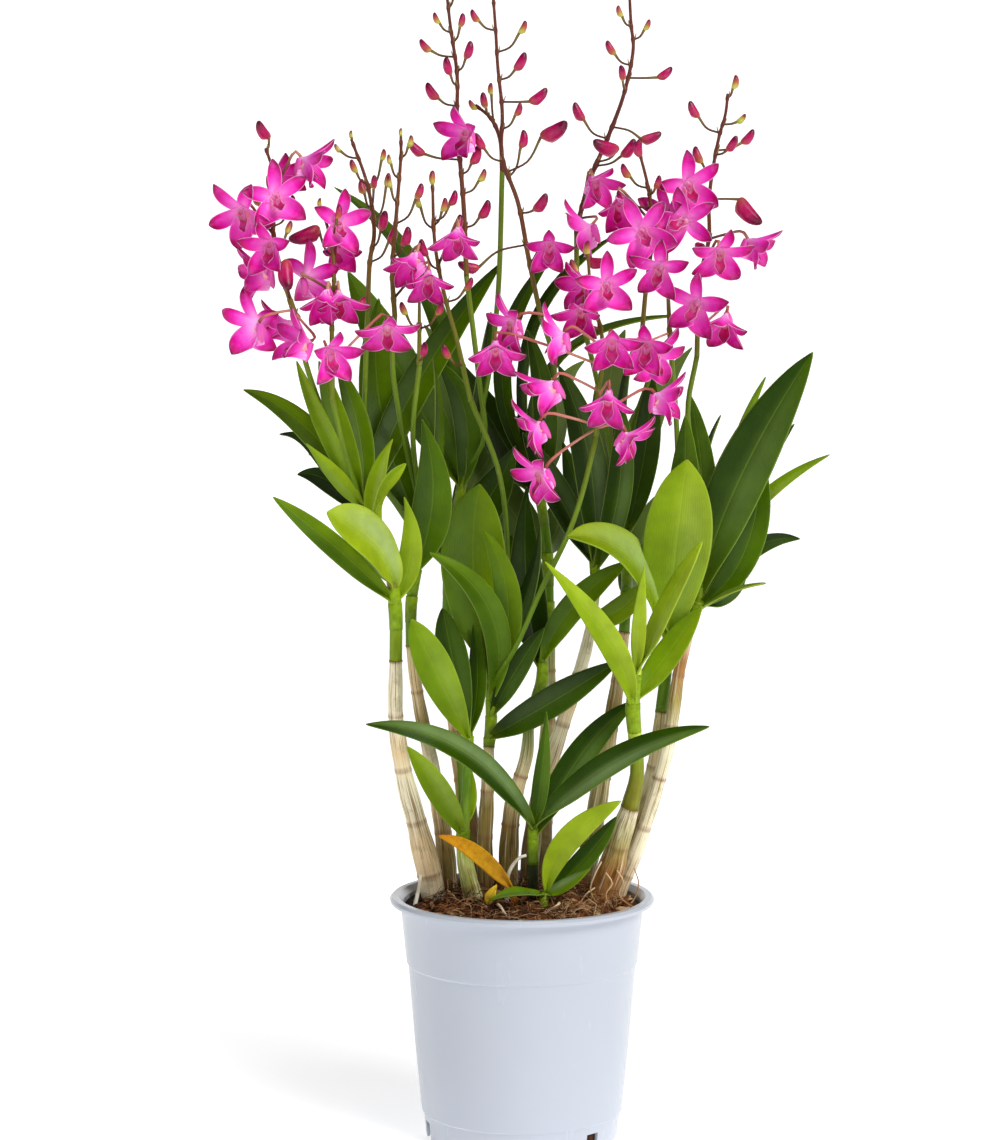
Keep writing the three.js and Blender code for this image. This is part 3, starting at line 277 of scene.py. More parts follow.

# Leafy stems: name, places and radii from the foot upwards, leaves and flower stalks. A leaf has
# its form, width, look, tone from 0, dark, to 1, light, and the places of its base, middle and tip.
# The low tones of the leaves inside the plant and at its back are painted shade.
LEAFY_STEMS = (
    ("leafy_stem_1", (
        (-57, 217.4, -2), (-57, 238, -3), (-59, 255, -4), (-65, 272, -3), (-72, 288, -1),
    ), (2.9, 2.9, 2.6, 2.3, 2.0), (
        ("oval", 25, "brow", 0.8, (-58, 250, -5), (-66, 269, -22), (-88, 284, -36)),
        ("strap", 11, "front", 0.5, (-59, 243, -4), (-84, 268, -12), (-112, 291, -18)),
        ("lance", 11, "front", 0.7, (-57, 243, -2), (-50, 266, -2), (-53, 291, -6)),
        ("strap", 12, "front", 0.35, (-71, 286, 1), (-97, 322, 10), (-125, 339, 16)),
        ("lance", 14, "brow", 0.05, (-70, 284, 2), (-91, 312, 20), (-109, 319, 28)),
        ("lance", 8, "front", 0.62, (-71, 285, -2), (-86, 303, -9), (-97, 315, -14)),
        ("strap", 12, "front", 0.1, (-70, 283, 2), (-87, 298, 20), (-101, 301, 30)),
        ("strap", 8, "front", 0.55, (-72, 287, -1), (-89, 322, -5), (-101, 352, -12)),
        ("strap", 11, "front", 0.5, (-72, 287, 0), (-82, 322, 0), (-91, 352, 4)),
        ("strap", 12, "front", 0.4, (-71, 286, 1), (-73, 320, 7), (-83, 350, 10)),
        ("lance", 9, "front", 0.7, (-67, 279, -3), (-65, 300, -9), (-58, 317, -12)),
        ("strap", 12, "right", 0.78, (-66, 275, -3), (-64, 292, -18), (-52, 306, -27)),
        ("strap", 16, "front", 0.2, (-70, 284, 2), (-50, 336, 32), (-9, 396, 44)),
        ("lance", 17, "back", 0.15, (-69, 281, 1), (-80, 303, 32), (-96, 310, 52)),
    ), (
        ((-72, 287, 0), (-85, 318, 8), (-96, 348, 2), (-101, 370, -10)),
        ((-72, 287, -1), (-79, 309, -9), (-85, 335, -12)),
        ((-71, 286, 0), (-71, 320, 14), (-70, 350, 17), (-69, 374, 18)),
    )),
    ("leafy_stem_2", (
        (-50, 224.4, 16), (-50, 242, 16), (-47, 262, 16), (-44, 282, 16),
    ), (2.6, 2.4, 2.2, 1.8), (
        ("lance", 19, "front", 0.35, (-47, 258, 15), (-40, 292, 4), (-45, 326, 0)),
        ("strap", 20, "front", 0.4, (-45, 276, 16), (-63, 328, 38), (-64, 380, 42)),
        ("lance", 10, "right", 0.3, (-44, 280, 16), (-38, 316, 13), (-40, 353, 13)),
        ("strap", 17, "back", 0.15, (-49, 246, 17), (-64, 262, 34), (-86, 266, 52)),
    ), (
        ((-44, 280, 16), (-54, 322, 13), (-58, 350, 11), (-57, 372, 9)),
        ((-44, 280, 16), (-49, 318, 9), (-46, 350, 5)),
    )),
    ("leafy_stem_3", (
        (-27, 134.9, 3), (-25, 160, 1), (-24, 184, 2),
    ), (2.9, 2.2, 1.8), (
        ("strap", 12, "front", 0.6, (-26, 137, 2), (-37, 156, -6), (-52, 178, -14)),
        ("lance", 9, "front", 0.5, (-26, 140, 3), (-25, 160, 10), (-31, 180, 14)),
        ("oval", 17, "front", 0.55, (-24, 181, 1), (-36, 206, -9), (-50, 236, -15)),
        ("oval", 15, "front", 0.22, (-24, 183, 3), (-31, 216, 6), (-36, 241, 6)),
        ("strap", 9, "front", 0.25, (-24, 182, 2), (-20, 208, 8), (-22, 234, 11)),
    ), ()),
    ("leafy_stem_4", (
        (-15, 178.4, 16), (-14, 190, 15), (-14, 202, 14), (-14, 213, 13),
    ), (2.5, 2.4, 2.2, 2.0), (
        ("strap", 13, "front", 0.34, (-14, 199, 14), (-14, 238, -2), (-42, 266, -12)),
        ("oval", 31, "front", 0.52, (-14, 210, 13), (-22, 256, 17), (-19, 297, 14)),
        ("strap", 13, "front", 0.52, (-13, 205, 13), (-6, 242, 5), (-18, 277, 1)),
        ("lance", 12, "left", 0.15, (-13, 207, 14), (3, 248, 22), (8, 278, 20)),
        ("strap", 15, "front", 0.12, (-15, 182, 16), (12, 197, -3), (44, 217, -12)),
        ("strap", 11, "front", 0.12, (-14, 192, 15), (-3, 212, 8), (10, 232, 4)),
    ), (
        ((-14, 211, 13), (-7, 250, 27), (-10, 300, 21), (-23, 334, 15)),
        ((-13, 206, 13), (-3, 223, -3), (8, 248, -8), (21, 275, -12), (27, 293, -13), (33, 318, -12)),
    )),
    ("leafy_stem_5", (
        (3, 187.4, 14), (6, 199, 13), (9, 208, 12), (9, 218, 12),
    ), (2.5, 2.3, 2.6, 2.0), (
        ("strap", 13, "front", 0.4, (9, 216, 12), (22, 240, 9), (48, 262, 8)),
        ("lance", 18, "front", 0.12, (9, 212, 14), (2, 250, 30), (2, 296, 38)),
    ), ()),
    ("leafy_stem_6", (
        (31, 233.4, 28), (33, 250, 28), (32, 266, 27),
    ), (2.4, 2.2, 1.8), (
        ("strap", 16, "front", 0.18, (32, 262, 27), (30, 308, 19), (16, 350, 18)),
        ("strap", 12, "front", 0.6, (31, 236, 28), (43, 239, 20), (56, 252, 17)),
        ("strap", 14, "front", 0.1, (32, 260, 28), (18, 288, 34), (0, 320, 38)),
        ("strap", 13, "front", 0.15, (33, 258, 27), (43, 292, 17), (44, 334, 18)),
    ), ()),
    ("leafy_stem_7", (
        (49, 150.9, 0), (52, 165, -3), (51, 182, -6), (50, 197, -8), (52, 214, -8),
    ), (4.2, 3.2, 3.1, 3.0, 2.0), (
        ("lance", 12, "front", 0.84, (50, 196, -8), (39, 226, -21), (10, 262, -36)),
        ("lance", 7, "front", 0.88, (52, 211, -8), (53, 238, -19), (55, 260, -25)),
        ("strap", 12, "left", 0.85, (52, 208, -8), (65, 241, -15), (81, 271, -22)),
        ("strap", 13, "front", 0.65, (50, 198, -7), (65, 219, 1), (81, 242, 3)),
    ), ()),
    ("leafy_stem_8", (
        (63, 194.6, 19), (65, 213, 18), (66, 230, 16),
    ), (2.9, 2.7, 2.2), (
        ("oval", 32, "front", 0.68, (66, 226, 16), (69, 266, -2), (74, 308, -8)),
        ("oval", 28, "brow", 0.7, (66, 228, 16), (48, 263, -14), (20, 273, -30)),
        ("strap", 17, "front", 0.3, (66, 229, 16), (72, 288, 14), (73, 328, 12)),
    ), (
        ((66, 228, 16), (70, 280, 24), (69, 324, 22), (66, 360, 20)),
    )),
    ("leafy_stem_9", (
        (76, 234.4, 13), (79, 242, 13), (81, 252, 12),
    ), (2.4, 2.2, 1.8), (
        ("strap", 25, "front", 0.24, (80, 248, 12), (97, 298, 1), (130, 356, -8)),
        ("strap", 15, "front", 0.22, (78, 241, 13), (100, 266, 10), (107, 310, 12)),
        ("strap", 7, "front", 0.5, (80, 249, 13), (104, 286, 21), (138, 310, 24)),
        ("strap", 10, "front", 0.2, (79, 244, 14), (103, 267, 22), (125, 272, 26)),
        ("lance", 10, "front", 0.15, (79, 242, 14), (95, 250, 28), (100, 263, 34)),
        ("strap", 7, "sky", 0.6, (77, 237, 13), (92, 247, 2), (110, 252, -6)),
        ("strap", 8, "right", 0.2, (80, 250, 14), (104, 296, 34), (122, 324, 40)),
        ("strap", 8, "right", 0.5, (80, 250, 13), (94, 308, 28), (109, 345, 36)),
        ("strap", 7, "left", 0.2, (80, 251, 14), (80, 296, 50), (89, 328, 52)),
        ("strap", 14, "front", 0.3, (80, 250, 13), (81, 296, 34), (75, 337, 36)),
    ), (
        ((81, 250, 12), (81, 290, 28), (74, 328, 27), (78, 354, 24)),
    )),
    ("leafy_stem_10", (
        (-34, 228.4, 56), (-33, 255, 57), (-30, 280, 56), (-26, 302, 54),
    ), (2.6, 2.4, 2.2, 1.8), (
        ("strap", 10, "front", 0.3, (-26, 299, 54), (-42, 382, 60), (-84, 429, 62)),
        ("strap", 22, "front", 0.35, (-27, 296, 54), (-56, 350, 57), (-78, 392, 57)),
        ("strap", 12, "right", 0.2, (-27, 297, 53), (-20, 335, 50), (-14, 374, 50)),
        ("strap", 13, "front", 0.22, (-27, 294, 53), (-25, 326, 45), (-38, 352, 44)),
        ("lance", 18, "back", 0.15, (-27, 297, 56), (-32, 342, 78), (-44, 368, 94)),
        ("lance", 18, "back", 0.15, (-29, 284, 57), (-12, 312, 82), (4, 330, 102)),
        ("lance", 18, "back", 0.15, (-33, 258, 58), (-52, 290, 78), (-76, 304, 88)),
        ("lance", 18, "front", 0.12, (-33, 262, 58), (-48, 290, 66), (-66, 318, 68)),
        ("lance", 20, "front", 0.15, (-32, 270, 57), (-15, 290, 52), (-3, 314, 48)),
    ), (
        ((-26, 300, 54), (-17, 318, 42), (-19, 340, 32), (-25, 390, 26)),
        ((-26, 300, 54), (-16, 340, 46), (-11, 380, 42), (-9, 436, 38)),
    )),
    ("leafy_stem_11", (
        (12, 235.4, 56), (11, 270, 57), (6, 302, 55),
    ), (2.6, 2.3, 1.8), (
        ("strap", 9, "front", 0.25, (7, 298, 55), (-9, 350, 66), (15, 401, 68)),
        ("strap", 9, "left", 0.2, (7, 299, 56), (4, 364, 60), (42, 408, 60)),
        ("strap", 10, "sky", 0.3, (7, 299, 55), (16, 352, 54), (71, 372, 50)),
        ("lance", 18, "back", 0.12, (8, 294, 57), (16, 334, 84), (28, 352, 104)),
        ("lance", 18, "back", 0.12, (11, 266, 58), (20, 284, 84), (28, 290, 106)),
        ("strap", 12, "front", 0.2, (8, 292, 54), (10, 330, 44), (2, 366, 40)),
        ("lance", 20, "front", 0.1, (9, 290, 57), (-10, 318, 68), (-28, 352, 72)),
        ("lance", 20, "back", 0.12, (11, 262, 58), (-8, 290, 78), (-24, 322, 92)),
        ("lance", 18, "front", 0.15, (12, 244, 57), (-4, 262, 66), (-22, 284, 74)),
    ), (
        ((6, 300, 55), (13, 330, 50), (14, 352, 46), (8, 372, 42)),
    )),
    ("leafy_stem_12", (
        (46, 230.4, 48), (47, 262, 48), (43, 292, 46),
    ), (2.6, 2.3, 1.8), (
        ("strap", 14, "front", 0.2, (46, 272, 47), (55, 312, 36), (57, 349, 34)),
        ("strap", 9, "left", 0.2, (45, 280, 47), (44, 320, 32), (49, 357, 28)),
        ("lance", 18, "back", 0.15, (47, 262, 49), (70, 290, 70), (94, 302, 82)),
        ("lance", 17, "back", 0.15, (44, 286, 48), (58, 330, 68), (76, 358, 78)),
        ("lance", 18, "back", 0.15, (47, 248, 49), (56, 268, 74), (66, 276, 98)),
        ("lance", 18, "front", 0.15, (46, 262, 47), (30, 284, 56), (18, 316, 60)),
        ("strap", 16, "back", 0.1, (44, 284, 48), (38, 330, 66), (46, 366, 76)),
    ), (
        ((43, 290, 46), (34, 340, 48), (25, 380, 46), (24, 410, 44)),
        ((44, 288, 46), (50, 324, 46), (57, 348, 26), (53, 358, 16)),
    )),
    ("leafy_stem_13", (
        (5, 96, -2), (5, 107, -2), (5, 124, -3), (5, 142, -5),
    ), (2.0, 2.6, 2.3, 2.0), (
        ("strap", 13, "brow", 0.2, (5, 139, -5), (-26, 175, -32), (-71, 188, -42)),
        ("strap", 14, "brow", 0.2, (5, 140, -5), (42, 171, -24), (85, 187, -32)),
        ("lance", 8, "front", 0.32, (5, 139, -6), (9, 165, -12), (11, 194, -14)),
        ("strap", 14, "front", 0.25, (5, 136, -4), (28, 176, 3), (52, 199, 7)),
    ), ()),
    ("leafy_stem_14", (
        (10, 94, -10), (10, 108, -10), (12, 113, -11),
    ), (1.8, 2.0, 1.6), (
        ("strap", 12, "front", 0.9, (11, 111, -11), (20, 134, -16), (45, 153, -22)),
        ("strap", 10, "front", 0.25, (11, 110, -10), (28, 126, -6), (43, 146, -6)),
        ("lance", 7, "brow", 0.45, (11, 109, -10), (21, 115, -14), (31, 122, -16)),
        ("lance", 8, "sky", 0.4, (10, 108, -11), (-2, 111, -21), (-15, 107, -27)),
    ), ()),
)

# Flower sprays: name, places of the rachis, blooms and buds. A bloom has its place (x, z, y), the
# height at which its pedicel leaves the rachis, its yaw, pitch and roll, and its stage. A bud has
# its place, that height and its size, and a yaw and pitch where it doesn't point from its node.
SPRAYS = (
    ("spray_1", (
        (-101, 370.6, -10), (-107, 390, -12), (-111, 410, -12), (-110, 432, -10), (-114, 446, -8),
    ), (
        (-127, 416, -20, 408, -20, -25, 35, 2), (-109, 425, -24, 418, 15, 5, 10, 2),
        (-114, 402, -24, 394, -15, -15, 0, 1), (-121, 391, -10, 384, -80, -10, 15, 1),
        (-91, 439, -10, 428, 78, -18, 0, 1), (-122, 368, -14, 374, -140, -5, 0, 2),
        (-102, 362, -24, 373, -60, 14, 0, 1), (-107, 433, -2, 424, 35, 10, 0, 0),
        (-110, 368, 0, 376, -75, 0, 0, 0),
    ), (
        (-115, 454, -8, 445, 1.1, -40, 40), (-112, 431, -16, 424, 0.9), (-118, 424, -6, 412, 0.8),
        (-103, 422, 0, 412, 0.8), (-105, 390, -20, 378, 1.6, 10, -65), (-104, 411, -4, 403, 0.7),
    )),
    ("spray_2", (
        (-85, 335.6, -12), (-85, 370, -12), (-84, 394, -11), (-87, 412, -10), (-90, 420, -10),
    ), (
        (-80, 413, -14, 402, 25, 0, -10, 2), (-81, 401, 2, 388, 15, -35, 0, 0),
        (-93, 390, -4, 382, 150, 10, 0, 2), (-89, 377, -24, 370, -20, -50, 0, 0),
        (-81, 376, -20, 366, 15, -55, 0, 1), (-84, 354, -26, 352, 30, -22, 0, 1),
        (-60, 362, -16, 350, 10, -58, 0, 2),
    ), (
        (-97, 408, -2, 398, 1.6, -75, -25), (-90, 422, -10, 418, 0.45), (-82, 418, -12, 406, 0.7),
        (-72, 378, 0, 374, 0.7),
    )),
    ("spray_3", (
        (-69, 374.6, 18), (-68, 396, 18), (-66, 409, 18), (-69, 430, 18), (-76, 450, 18),
    ), (), (
        (-76, 452, 18, 448, 0.4), (-82, 446, 18, 441, 0.5), (-75, 438, 14, 430, 0.7),
        (-71, 429, 24, 419, 0.8), (-66, 431, 12, 420, 0.7), (-62, 414, 12, 402, 1),
        (-62, 443, 24, 428, 0.6), (-60, 432, 26, 414, 0.7), (-58, 408, 22, 396, 0.9),
    )),
    ("spray_4", (
        (-57, 372.6, 9), (-58, 391, 9), (-56, 418, 9), (-54, 443, 9), (-54, 451, 9),
    ), (
        (-51, 394, -3, 388, -40, -45, 0, 0), (-42, 385, -4, 380, 0, -55, 0, 1),
    ), (
        (-54, 453, 9, 449, 0.4), (-50, 449, 8, 442, 0.6), (-59, 441, 6, 433, 0.5),
        (-59, 431, 4, 422, 0.6), (-46, 427, 4, 412, 0.8), (-52, 407, 4, 398, 1),
    )),
    ("spray_5", (
        (-46, 350.6, 5), (-46, 368, 4), (-46, 378, 3),
    ), (), (
        (-44, 357, -3, 352, 0.8), (-53, 375, 0, 366, 0.7), (-37, 375, -4, 366, 0.7),
    )),
    ("spray_6", (
        (-23.3, 334.6, 15), (-29, 360, 14), (-35, 382, 13), (-39, 404, 12), (-40, 430, 11),
    ), (
        (-30, 404, 0, 394, -15, -58, 0, 1),
    ), (
        (-40, 433, 11, 428, 0.7), (-46, 422, 18, 410, 0.6), (-35, 421, 8, 412, 0.7),
        (-31, 424, 14, 414, 0.8), (-29, 413, 18, 402, 0.9), (-44, 402, 8, 392, 0.9),
        (-34, 356, 6, 350, 0.8), (-24, 386, 12, 378, 0.7),
    )),
    ("spray_7", (
        (-25, 390.6, 26), (-26, 418, 26), (-29, 458, 26), (-29, 478, 26), (-32, 500, 26),
        (-34, 518, 26),
    ), (
        (-28, 452, 13, 444, -40, -10, 0, 1),
    ), (
        (-34, 520, 26, 516, 0.5), (-30, 515, 24, 508, 0.5), (-38, 503, 22, 497, 0.6),
        (-27, 502, 24, 493, 0.7), (-43, 491, 28, 485, 0.8), (-33, 482, 20, 474, 0.9),
        (-24, 489, 22, 480, 0.9), (-40, 471, 30, 464, 1), (-47, 446, 24, 440, 1),
        (-21, 443, 24, 434, 1), (-18, 434, 30, 427, 0.7), (-17, 419, 24, 410, 1),
    )),
    ("spray_8", (
        (-9, 436.6, 38), (-10, 450, 38), (-14, 459, 37), (-21, 465, 36),
    ), (), (
        (-22, 465, 36, 464, 0.6), (-17, 467, 34, 459, 0.8), (-14, 472, 38, 456, 0.6),
    )),
    ("spray_9", (
        (8, 372.6, 42), (3, 396, 36), (-2, 422, 31), (-9, 442, 28), (-9, 462, 27), (-11, 482, 26),
        (-12, 499, 26), (-13, 512, 26),
    ), (
        (12, 401, 22, 394, 0, -30, 0, 1),
    ), (
        (-13, 514, 26, 509, 0.5), (-21, 504, 26, 497, 0.7), (0, 499, 26, 489, 0.7),
        (-1, 484, 22, 476, 1), (7, 469, 26, 466, 1.1), (-2, 463, 22, 455, 0.7),
        (-19, 449, 22, 441, 0.9), (0, 450, 30, 434, 0.9), (8, 422, 26, 418, 1.1),
        (-24, 394, 32, 404, 1.1), (14, 454, 26, 436, 1.6, 60, 20),
    )),
    ("spray_10", (
        (24, 410.6, 44), (30, 432, 42), (38, 451, 40), (45, 470, 38), (49, 490, 37), (48, 500, 36),
        (47, 518, 36),
    ), (
        (35, 429, 30, 420, 35, -35, 0, 1), (24, 409, 30, 415, -105, -22, 0, 2),
    ), (
        (47, 520, 36, 515, 0.5), (43, 506, 36, 499, 0.6), (55, 500, 36, 494, 0.6),
        (39, 490, 36, 482, 0.8), (44, 479, 30, 471, 0.8), (63, 479, 38, 476, 0.9),
        (25, 462, 40, 451, 1), (57, 451, 42, 456, 1.1), (47, 446, 34, 438, 1.1),
        (37, 447, 28, 440, 1.5, -60, 10), (34, 396, 34, 414, 1.2, 80, -5),
    )),
    ("spray_11", (
        (78, 354.6, 24), (79, 388, 22), (83, 406, 21), (83, 424, 21), (87, 450, 20), (90, 461, 20),
        (91, 470, 20),
    ), (
        (75, 429, 10, 420, 15, -15, 10, 2), (89, 397, 10, 392, 10, -40, 0, 2),
        (107, 402, 20, 405, 75, -28, 0, 1), (76, 376, 8, 372, -25, -15, -20, 2),
        (89, 366, 16, 366, -30, -55, 0, 1),
    ), (
        (94, 475, 20, 468, 0.7), (76, 463, 20, 452, 0.9), (97, 459, 20, 457, 0.6),
        (100, 451, 22, 445, 0.9), (93, 448, 14, 443, 0.9), (78, 443, 22, 436, 0.9),
        (101, 418, 20, 423, 1.7, 60, -50), (79, 403, 14, 398, 0.9, 20, -10),
    )),
    ("spray_12", (
        (53, 358.6, 16), (55, 383, 12), (58, 410, 10), (56, 428, 10), (52, 444, 10),
    ), (
        (53, 409, -4, 402, -5, -5, 30, 2), (71, 414, 0, 406, -20, 0, -60, 2),
        (60, 391, -6, 384, -20, -28, -10, 2), (43, 419, 6, 412, 0, -45, 0, 0),
        (62, 418, 8, 414, -35, 10, 0, 1),
    ), (
        (52, 446, 10, 442, 0.9), (45, 424, 10, 420, 0.9), (60, 431, 6, 426, 0.7),
        (46, 436, 14, 428, 0.8),
    )),
    ("spray_13", (
        (33, 318.6, -12), (34, 338, -12), (36, 352, -10), (35, 366, -8), (31, 380, -6),
        (29, 400, -4),
    ), (
        (38, 385, -20, 378, 5, -5, 0, 2), (25, 371, -14, 368, -20, -45, 0, 1),
        (40, 358, -24, 354, 0, -32, 0, 1), (7, 338, -22, 339, -85, -33, 0, 1),
        (1, 320, -24, 323, -85, -32, 0, 2), (4, 299, -26, 321, -60, -28, 10, 2),
        (38, 331, -28, 336, -10, -58, 0, 1), (52, 314, -24, 321, 70, -42, 0, 2),
        (67, 335, -18, 327, 80, -12, 0, 1), (-9, 367, -8, 366, -60, -20, 0, 2),
        (11, 362, -22, 358, -100, -15, 0, 2), (-12, 354, -20, 350, 0, -48, 0, 1),
        (25, 385, -4, 380, -55, -10, 0, 1), (55, 357, -18, 354, -10, -20, 0, 1),
    ), (
        (29, 402, -4, 398, 0.7), (23, 394, -6, 388, 0.7),
    )),
    ("spray_14", (
        (66, 360.6, 20), (65, 380, 18), (64, 396, 16),
    ), (
        (63, 352, 2, 364, 48, -28, 0, 2),
    ), (
        (64, 398, 16, 394, 0.7),
    )),
)

# Colours of a cane's skin, at even steps from its foot to its top. The inner canes are painted darker
# at their feet and lower down, as painted shade.
CANE_SKINS = {
    # cane_1's cream foot is painted light, lifting the shade that falls there.
    "cane_1": (CREAM, CREAM, TAN, TAN, CREAM, CREAM, TAN, CREAM, CREAM, CREAM),
    "cane_2": (PAINTED_SHADE_FOOT, PAINTED_SHADE_FOOT, PAINTED_SHADE_KHAKI, TAN, CREAM, PAINTED_SHADE_KHAKI, TAN, OLIVE),
    "cane_3": (TAN, CREAM, STRIPED, STRIPED, LIME),
    "cane_4": (PAINTED_SHADE_FOOT, PAINTED_SHADE_FOOT, PAINTED_SHADE_KHAKI, PAINTED_SHADE_KHAKI, PAINTED_SHADE_KHAKI, TAN, OLIVE),
    "cane_5": (PAINTED_SHADE_FOOT, PAINTED_SHADE_FOOT, PAINTED_SHADE_KHAKI, PAINTED_SHADE_KHAKI, TAN, OLIVE, GREEN),
    "cane_6": (PAINTED_SHADE_FOOT, PAINTED_SHADE_FOOT, PAINTED_SHADE_KHAKI, PAINTED_SHADE_KHAKI, TAN, CREAM, TAN, CREAM, CREAM),
    "cane_7": (AMBER, AMBER, AMBER, AMBER, KHAKI, OLIVE, CREAM),
    "cane_8": (PAINTED_SHADE_FOOT, PAINTED_SHADE_FOOT, PAINTED_SHADE_KHAKI, PAINTED_SHADE_KHAKI, OLIVE, CREAM, TAN, OLIVE),
    "cane_9": (BROWN, TAN, CREAM, CREAM, CREAM, CREAM, KHAKI, RUST, CREAM),
    "cane_10": (PAINTED_SHADE_FOOT, PAINTED_SHADE_FOOT, PAINTED_SHADE_KHAKI, TAN, OLIVE),
    "cane_11": (PAINTED_SHADE_FOOT, PAINTED_SHADE_FOOT, PAINTED_SHADE_KHAKI, OLIVE, GREEN),
    "cane_12": (PAINTED_SHADE_FOOT, PAINTED_SHADE_FOOT, OLIVE, PAINTED_SHADE_KHAKI, TAN),
}

# The same for the leafy stems whose skin isn't plain green. The dark foot of leafy_stem_13 is painted
# shade.
STEM_SKINS = {
    "leafy_stem_1": (SAP, SAP, BROWN, LIME, LIME, GREEN),
    "leafy_stem_3": (LIME, GREEN, GREEN),
    "leafy_stem_6": (CREAM, STRIPED, GREEN),
    "leafy_stem_7": (MOSS, MOSS, SAP, SPRING, SPRING, SPRING),
    "leafy_stem_13": (PAINTED_SHADE_GREEN, PAINTED_SHADE_GREEN, PAINTED_SHADE_GREEN, GREEN),
}
PLAIN_GREEN = (GREEN, LEAF[2], GREEN)

WITHERED_STEM = ((-3, 96, -12), (-3, 106, -12), (-4, 112, -12))
WITHERED_LEAF = ("strap", 8, "front", 0, (-4, 111, -12), (-21, 129, -12), (-38, 137, -10))
WITHERED_RADII = (1.2, 1.2, 1)
WITHERED_REACH = 40      # from the middle of the pot to the left, over which its colour changes
# A yellow scrap of leaf that lies at its foot.
WITHERED_SCRAP = ("lance", 5, "front", 0, (-15, 106, -15), (-14, 110, -18), (-11.5, 114.5, -17))
ROOTS = (
    ("aerial_root_1", ((-49, 103, -4), (-47, 112, -2), (-46, 119, 0))),
    ("aerial_root_2", ((-7, 106, -8), (-6, 120, -9), (-1, 127, -9), (2, 128, -9))),
)
ROOT_RADII = (1, 1.1, 0.9, 0.7)

# Thin roots that creep out of the canes' feet over the mix, and the radius of their thick end.
ROOTLETS = (
    ((36, 125, 2), (33, 119, -3), (31, 112, -5), (34, 106, -8), (38, 102, -11)),
    ((38, 120, -1), (41, 115, -4), (38, 110, -7), (41, 104, -10), (46, 102, -12)),
    ((43, 121, 0), (46, 116, -3), (44, 110, -6), (49, 105, -9), (54, 103, -8)),
    ((33, 113, 3), (29, 110, -2), (26, 106, -6), (20, 103, -10)),
    ((48, 104, 4), (51, 108, 4), (53, 115, 3), (51, 122, 2)),
    ((8, 100, -24), (12, 103, -26), (17, 105, -26)),
    ((-34, 112, 4), (-30, 108, -1), (-31, 104, -6), (-26, 102, -11)),
)
ROOTLET_RADIUS = 0.45
# The same for the short white root tips that lie at the front of the mix.
ROOT_TIPS = (
    ((17, 106, -21), (15.5, 104.5, -24), (12, 102.5, -27), (9, 99.5, -30)),
    ((-11, 105.5, -24), (-9.5, 104, -27), (-8, 101.5, -29), (-5.5, 98.5, -31)),
)
ROOT_TIP_RADIUS = 0.75

# ---------------------------------------------------------------- lines in space


def at(place):
    """The true place, in metres, of a place that is read in the front elevation."""
    x, z, y = (value * MM for value in place)
    reach = 1 - y / EYE.y
    return Vector((EYE.x + (x - EYE.x) * reach, y, EYE.z + (z - EYE.z) * reach))


def shown_height(point):
    """The height, in millimetres, at which a point shows in the front elevation."""
    return (EYE.z + (point.z - EYE.z) / (1 - point.y / EYE.y)) / MM


class Line:
    """A chain of closely spaced points, read by its share of the length from 0 to 1."""

    def __init__(self, points):
        self.points = points
        self.marks = [0.0]
        for start, end in zip(points, points[1:]):
            self.marks.append(self.marks[-1] + (end - start).length)
        self.length = self.marks[-1]

    def point(self, share):
        target = min(1.0, max(0.0, share)) * self.length
        last = len(self.points) - 2
        step = next((i for i in range(last) if self.marks[i + 1] > target), last)
        span = self.marks[step + 1] - self.marks[step]
        return self.points[step].lerp(self.points[step + 1], (target - self.marks[step]) / span)

    def tangent(self, share):
        return (self.point(share + TANGENT_REACH) - self.point(share - TANGENT_REACH)).normalized()

    def nearest(self, place):
        """The share at which the line passes nearest to a place."""
        shares = (i / NEAREST_STEPS for i in range(NEAREST_STEPS + 1))
        return min(shares, key=lambda s: (self.point(s) - place).length)

    def at_height(self, height):
        """The share at which the line shows at a height of the front elevation."""
        shares = (i / HEIGHT_STEPS for i in range(1, HEIGHT_STEPS))
        return min(shares, key=lambda s: abs(shown_height(self.point(s)) - height))


def smooth_line(points, steps=8):
    """The centripetal Catmull-Rom curve through points, as in the solids."""
    ends = [2 * points[0] - points[1], *points, 2 * points[-1] - points[-2]]
    chain = [points[0]]
    for before, start, end, after in zip(ends, ends[1:], ends[2:], ends[3:]):
        d0, d1, d2 = ((b - a).length ** 0.5 for a, b in
                      ((before, start), (start, end), (end, after)))
        leave = ((start - before) / d0 - (end - before) / (d0 + d1) + (end - start) / d1) * d1
        arrive = ((end - start) / d1 - (after - start) / (d1 + d2) + (after - end) / d2) * d1
        handles = (start, start + leave / 3, end - arrive / 3, end)
        chain += interpolate_bezier(*handles, steps + 1)[1:]
    return Line(chain)


def through(places):
    """The smooth line through places that are read in the front elevation."""
    return smooth_line([at(place) for place in places])


def starting_below(line, depth):
    """The same line with its foot carried straight back by a depth in millimetres."""
    return Line([line.points[0] - line.tangent(0) * depth * MM, *line.points])


def rooted(places):
    """The line of a stem that stands in the mix, straight below its first place."""
    points = [at(place) for place in places]
    return smooth_line([points[0] - Vector((0, 0, CANE_DEPTH * MM)), *points])


def leaf_line(base, middle, tip):
    """The bow of a leaf's midrib, which passes through its middle."""
    control = 2 * middle - 0.5 * base - 0.5 * tip
    handles = (base, base.lerp(control, 2 / 3), tip.lerp(control, 2 / 3), tip)
    return Line(interpolate_bezier(*handles, LEAF_POINTS))


def stepped(values, share):
    """The value at a share of the way through evenly spaced numbers."""
    place = min(0.9999, max(0.0, share)) * (len(values) - 1)
    low = int(place)
    return values[low] + (values[low + 1] - values[low]) * (place - low)


def eased(share):
    """A share that starts and ends slowly."""
    share = min(1.0, max(0.0, share))
    return share * share * (3 - 2 * share)


# ---------------------------------------------------------------- sheets and tubes


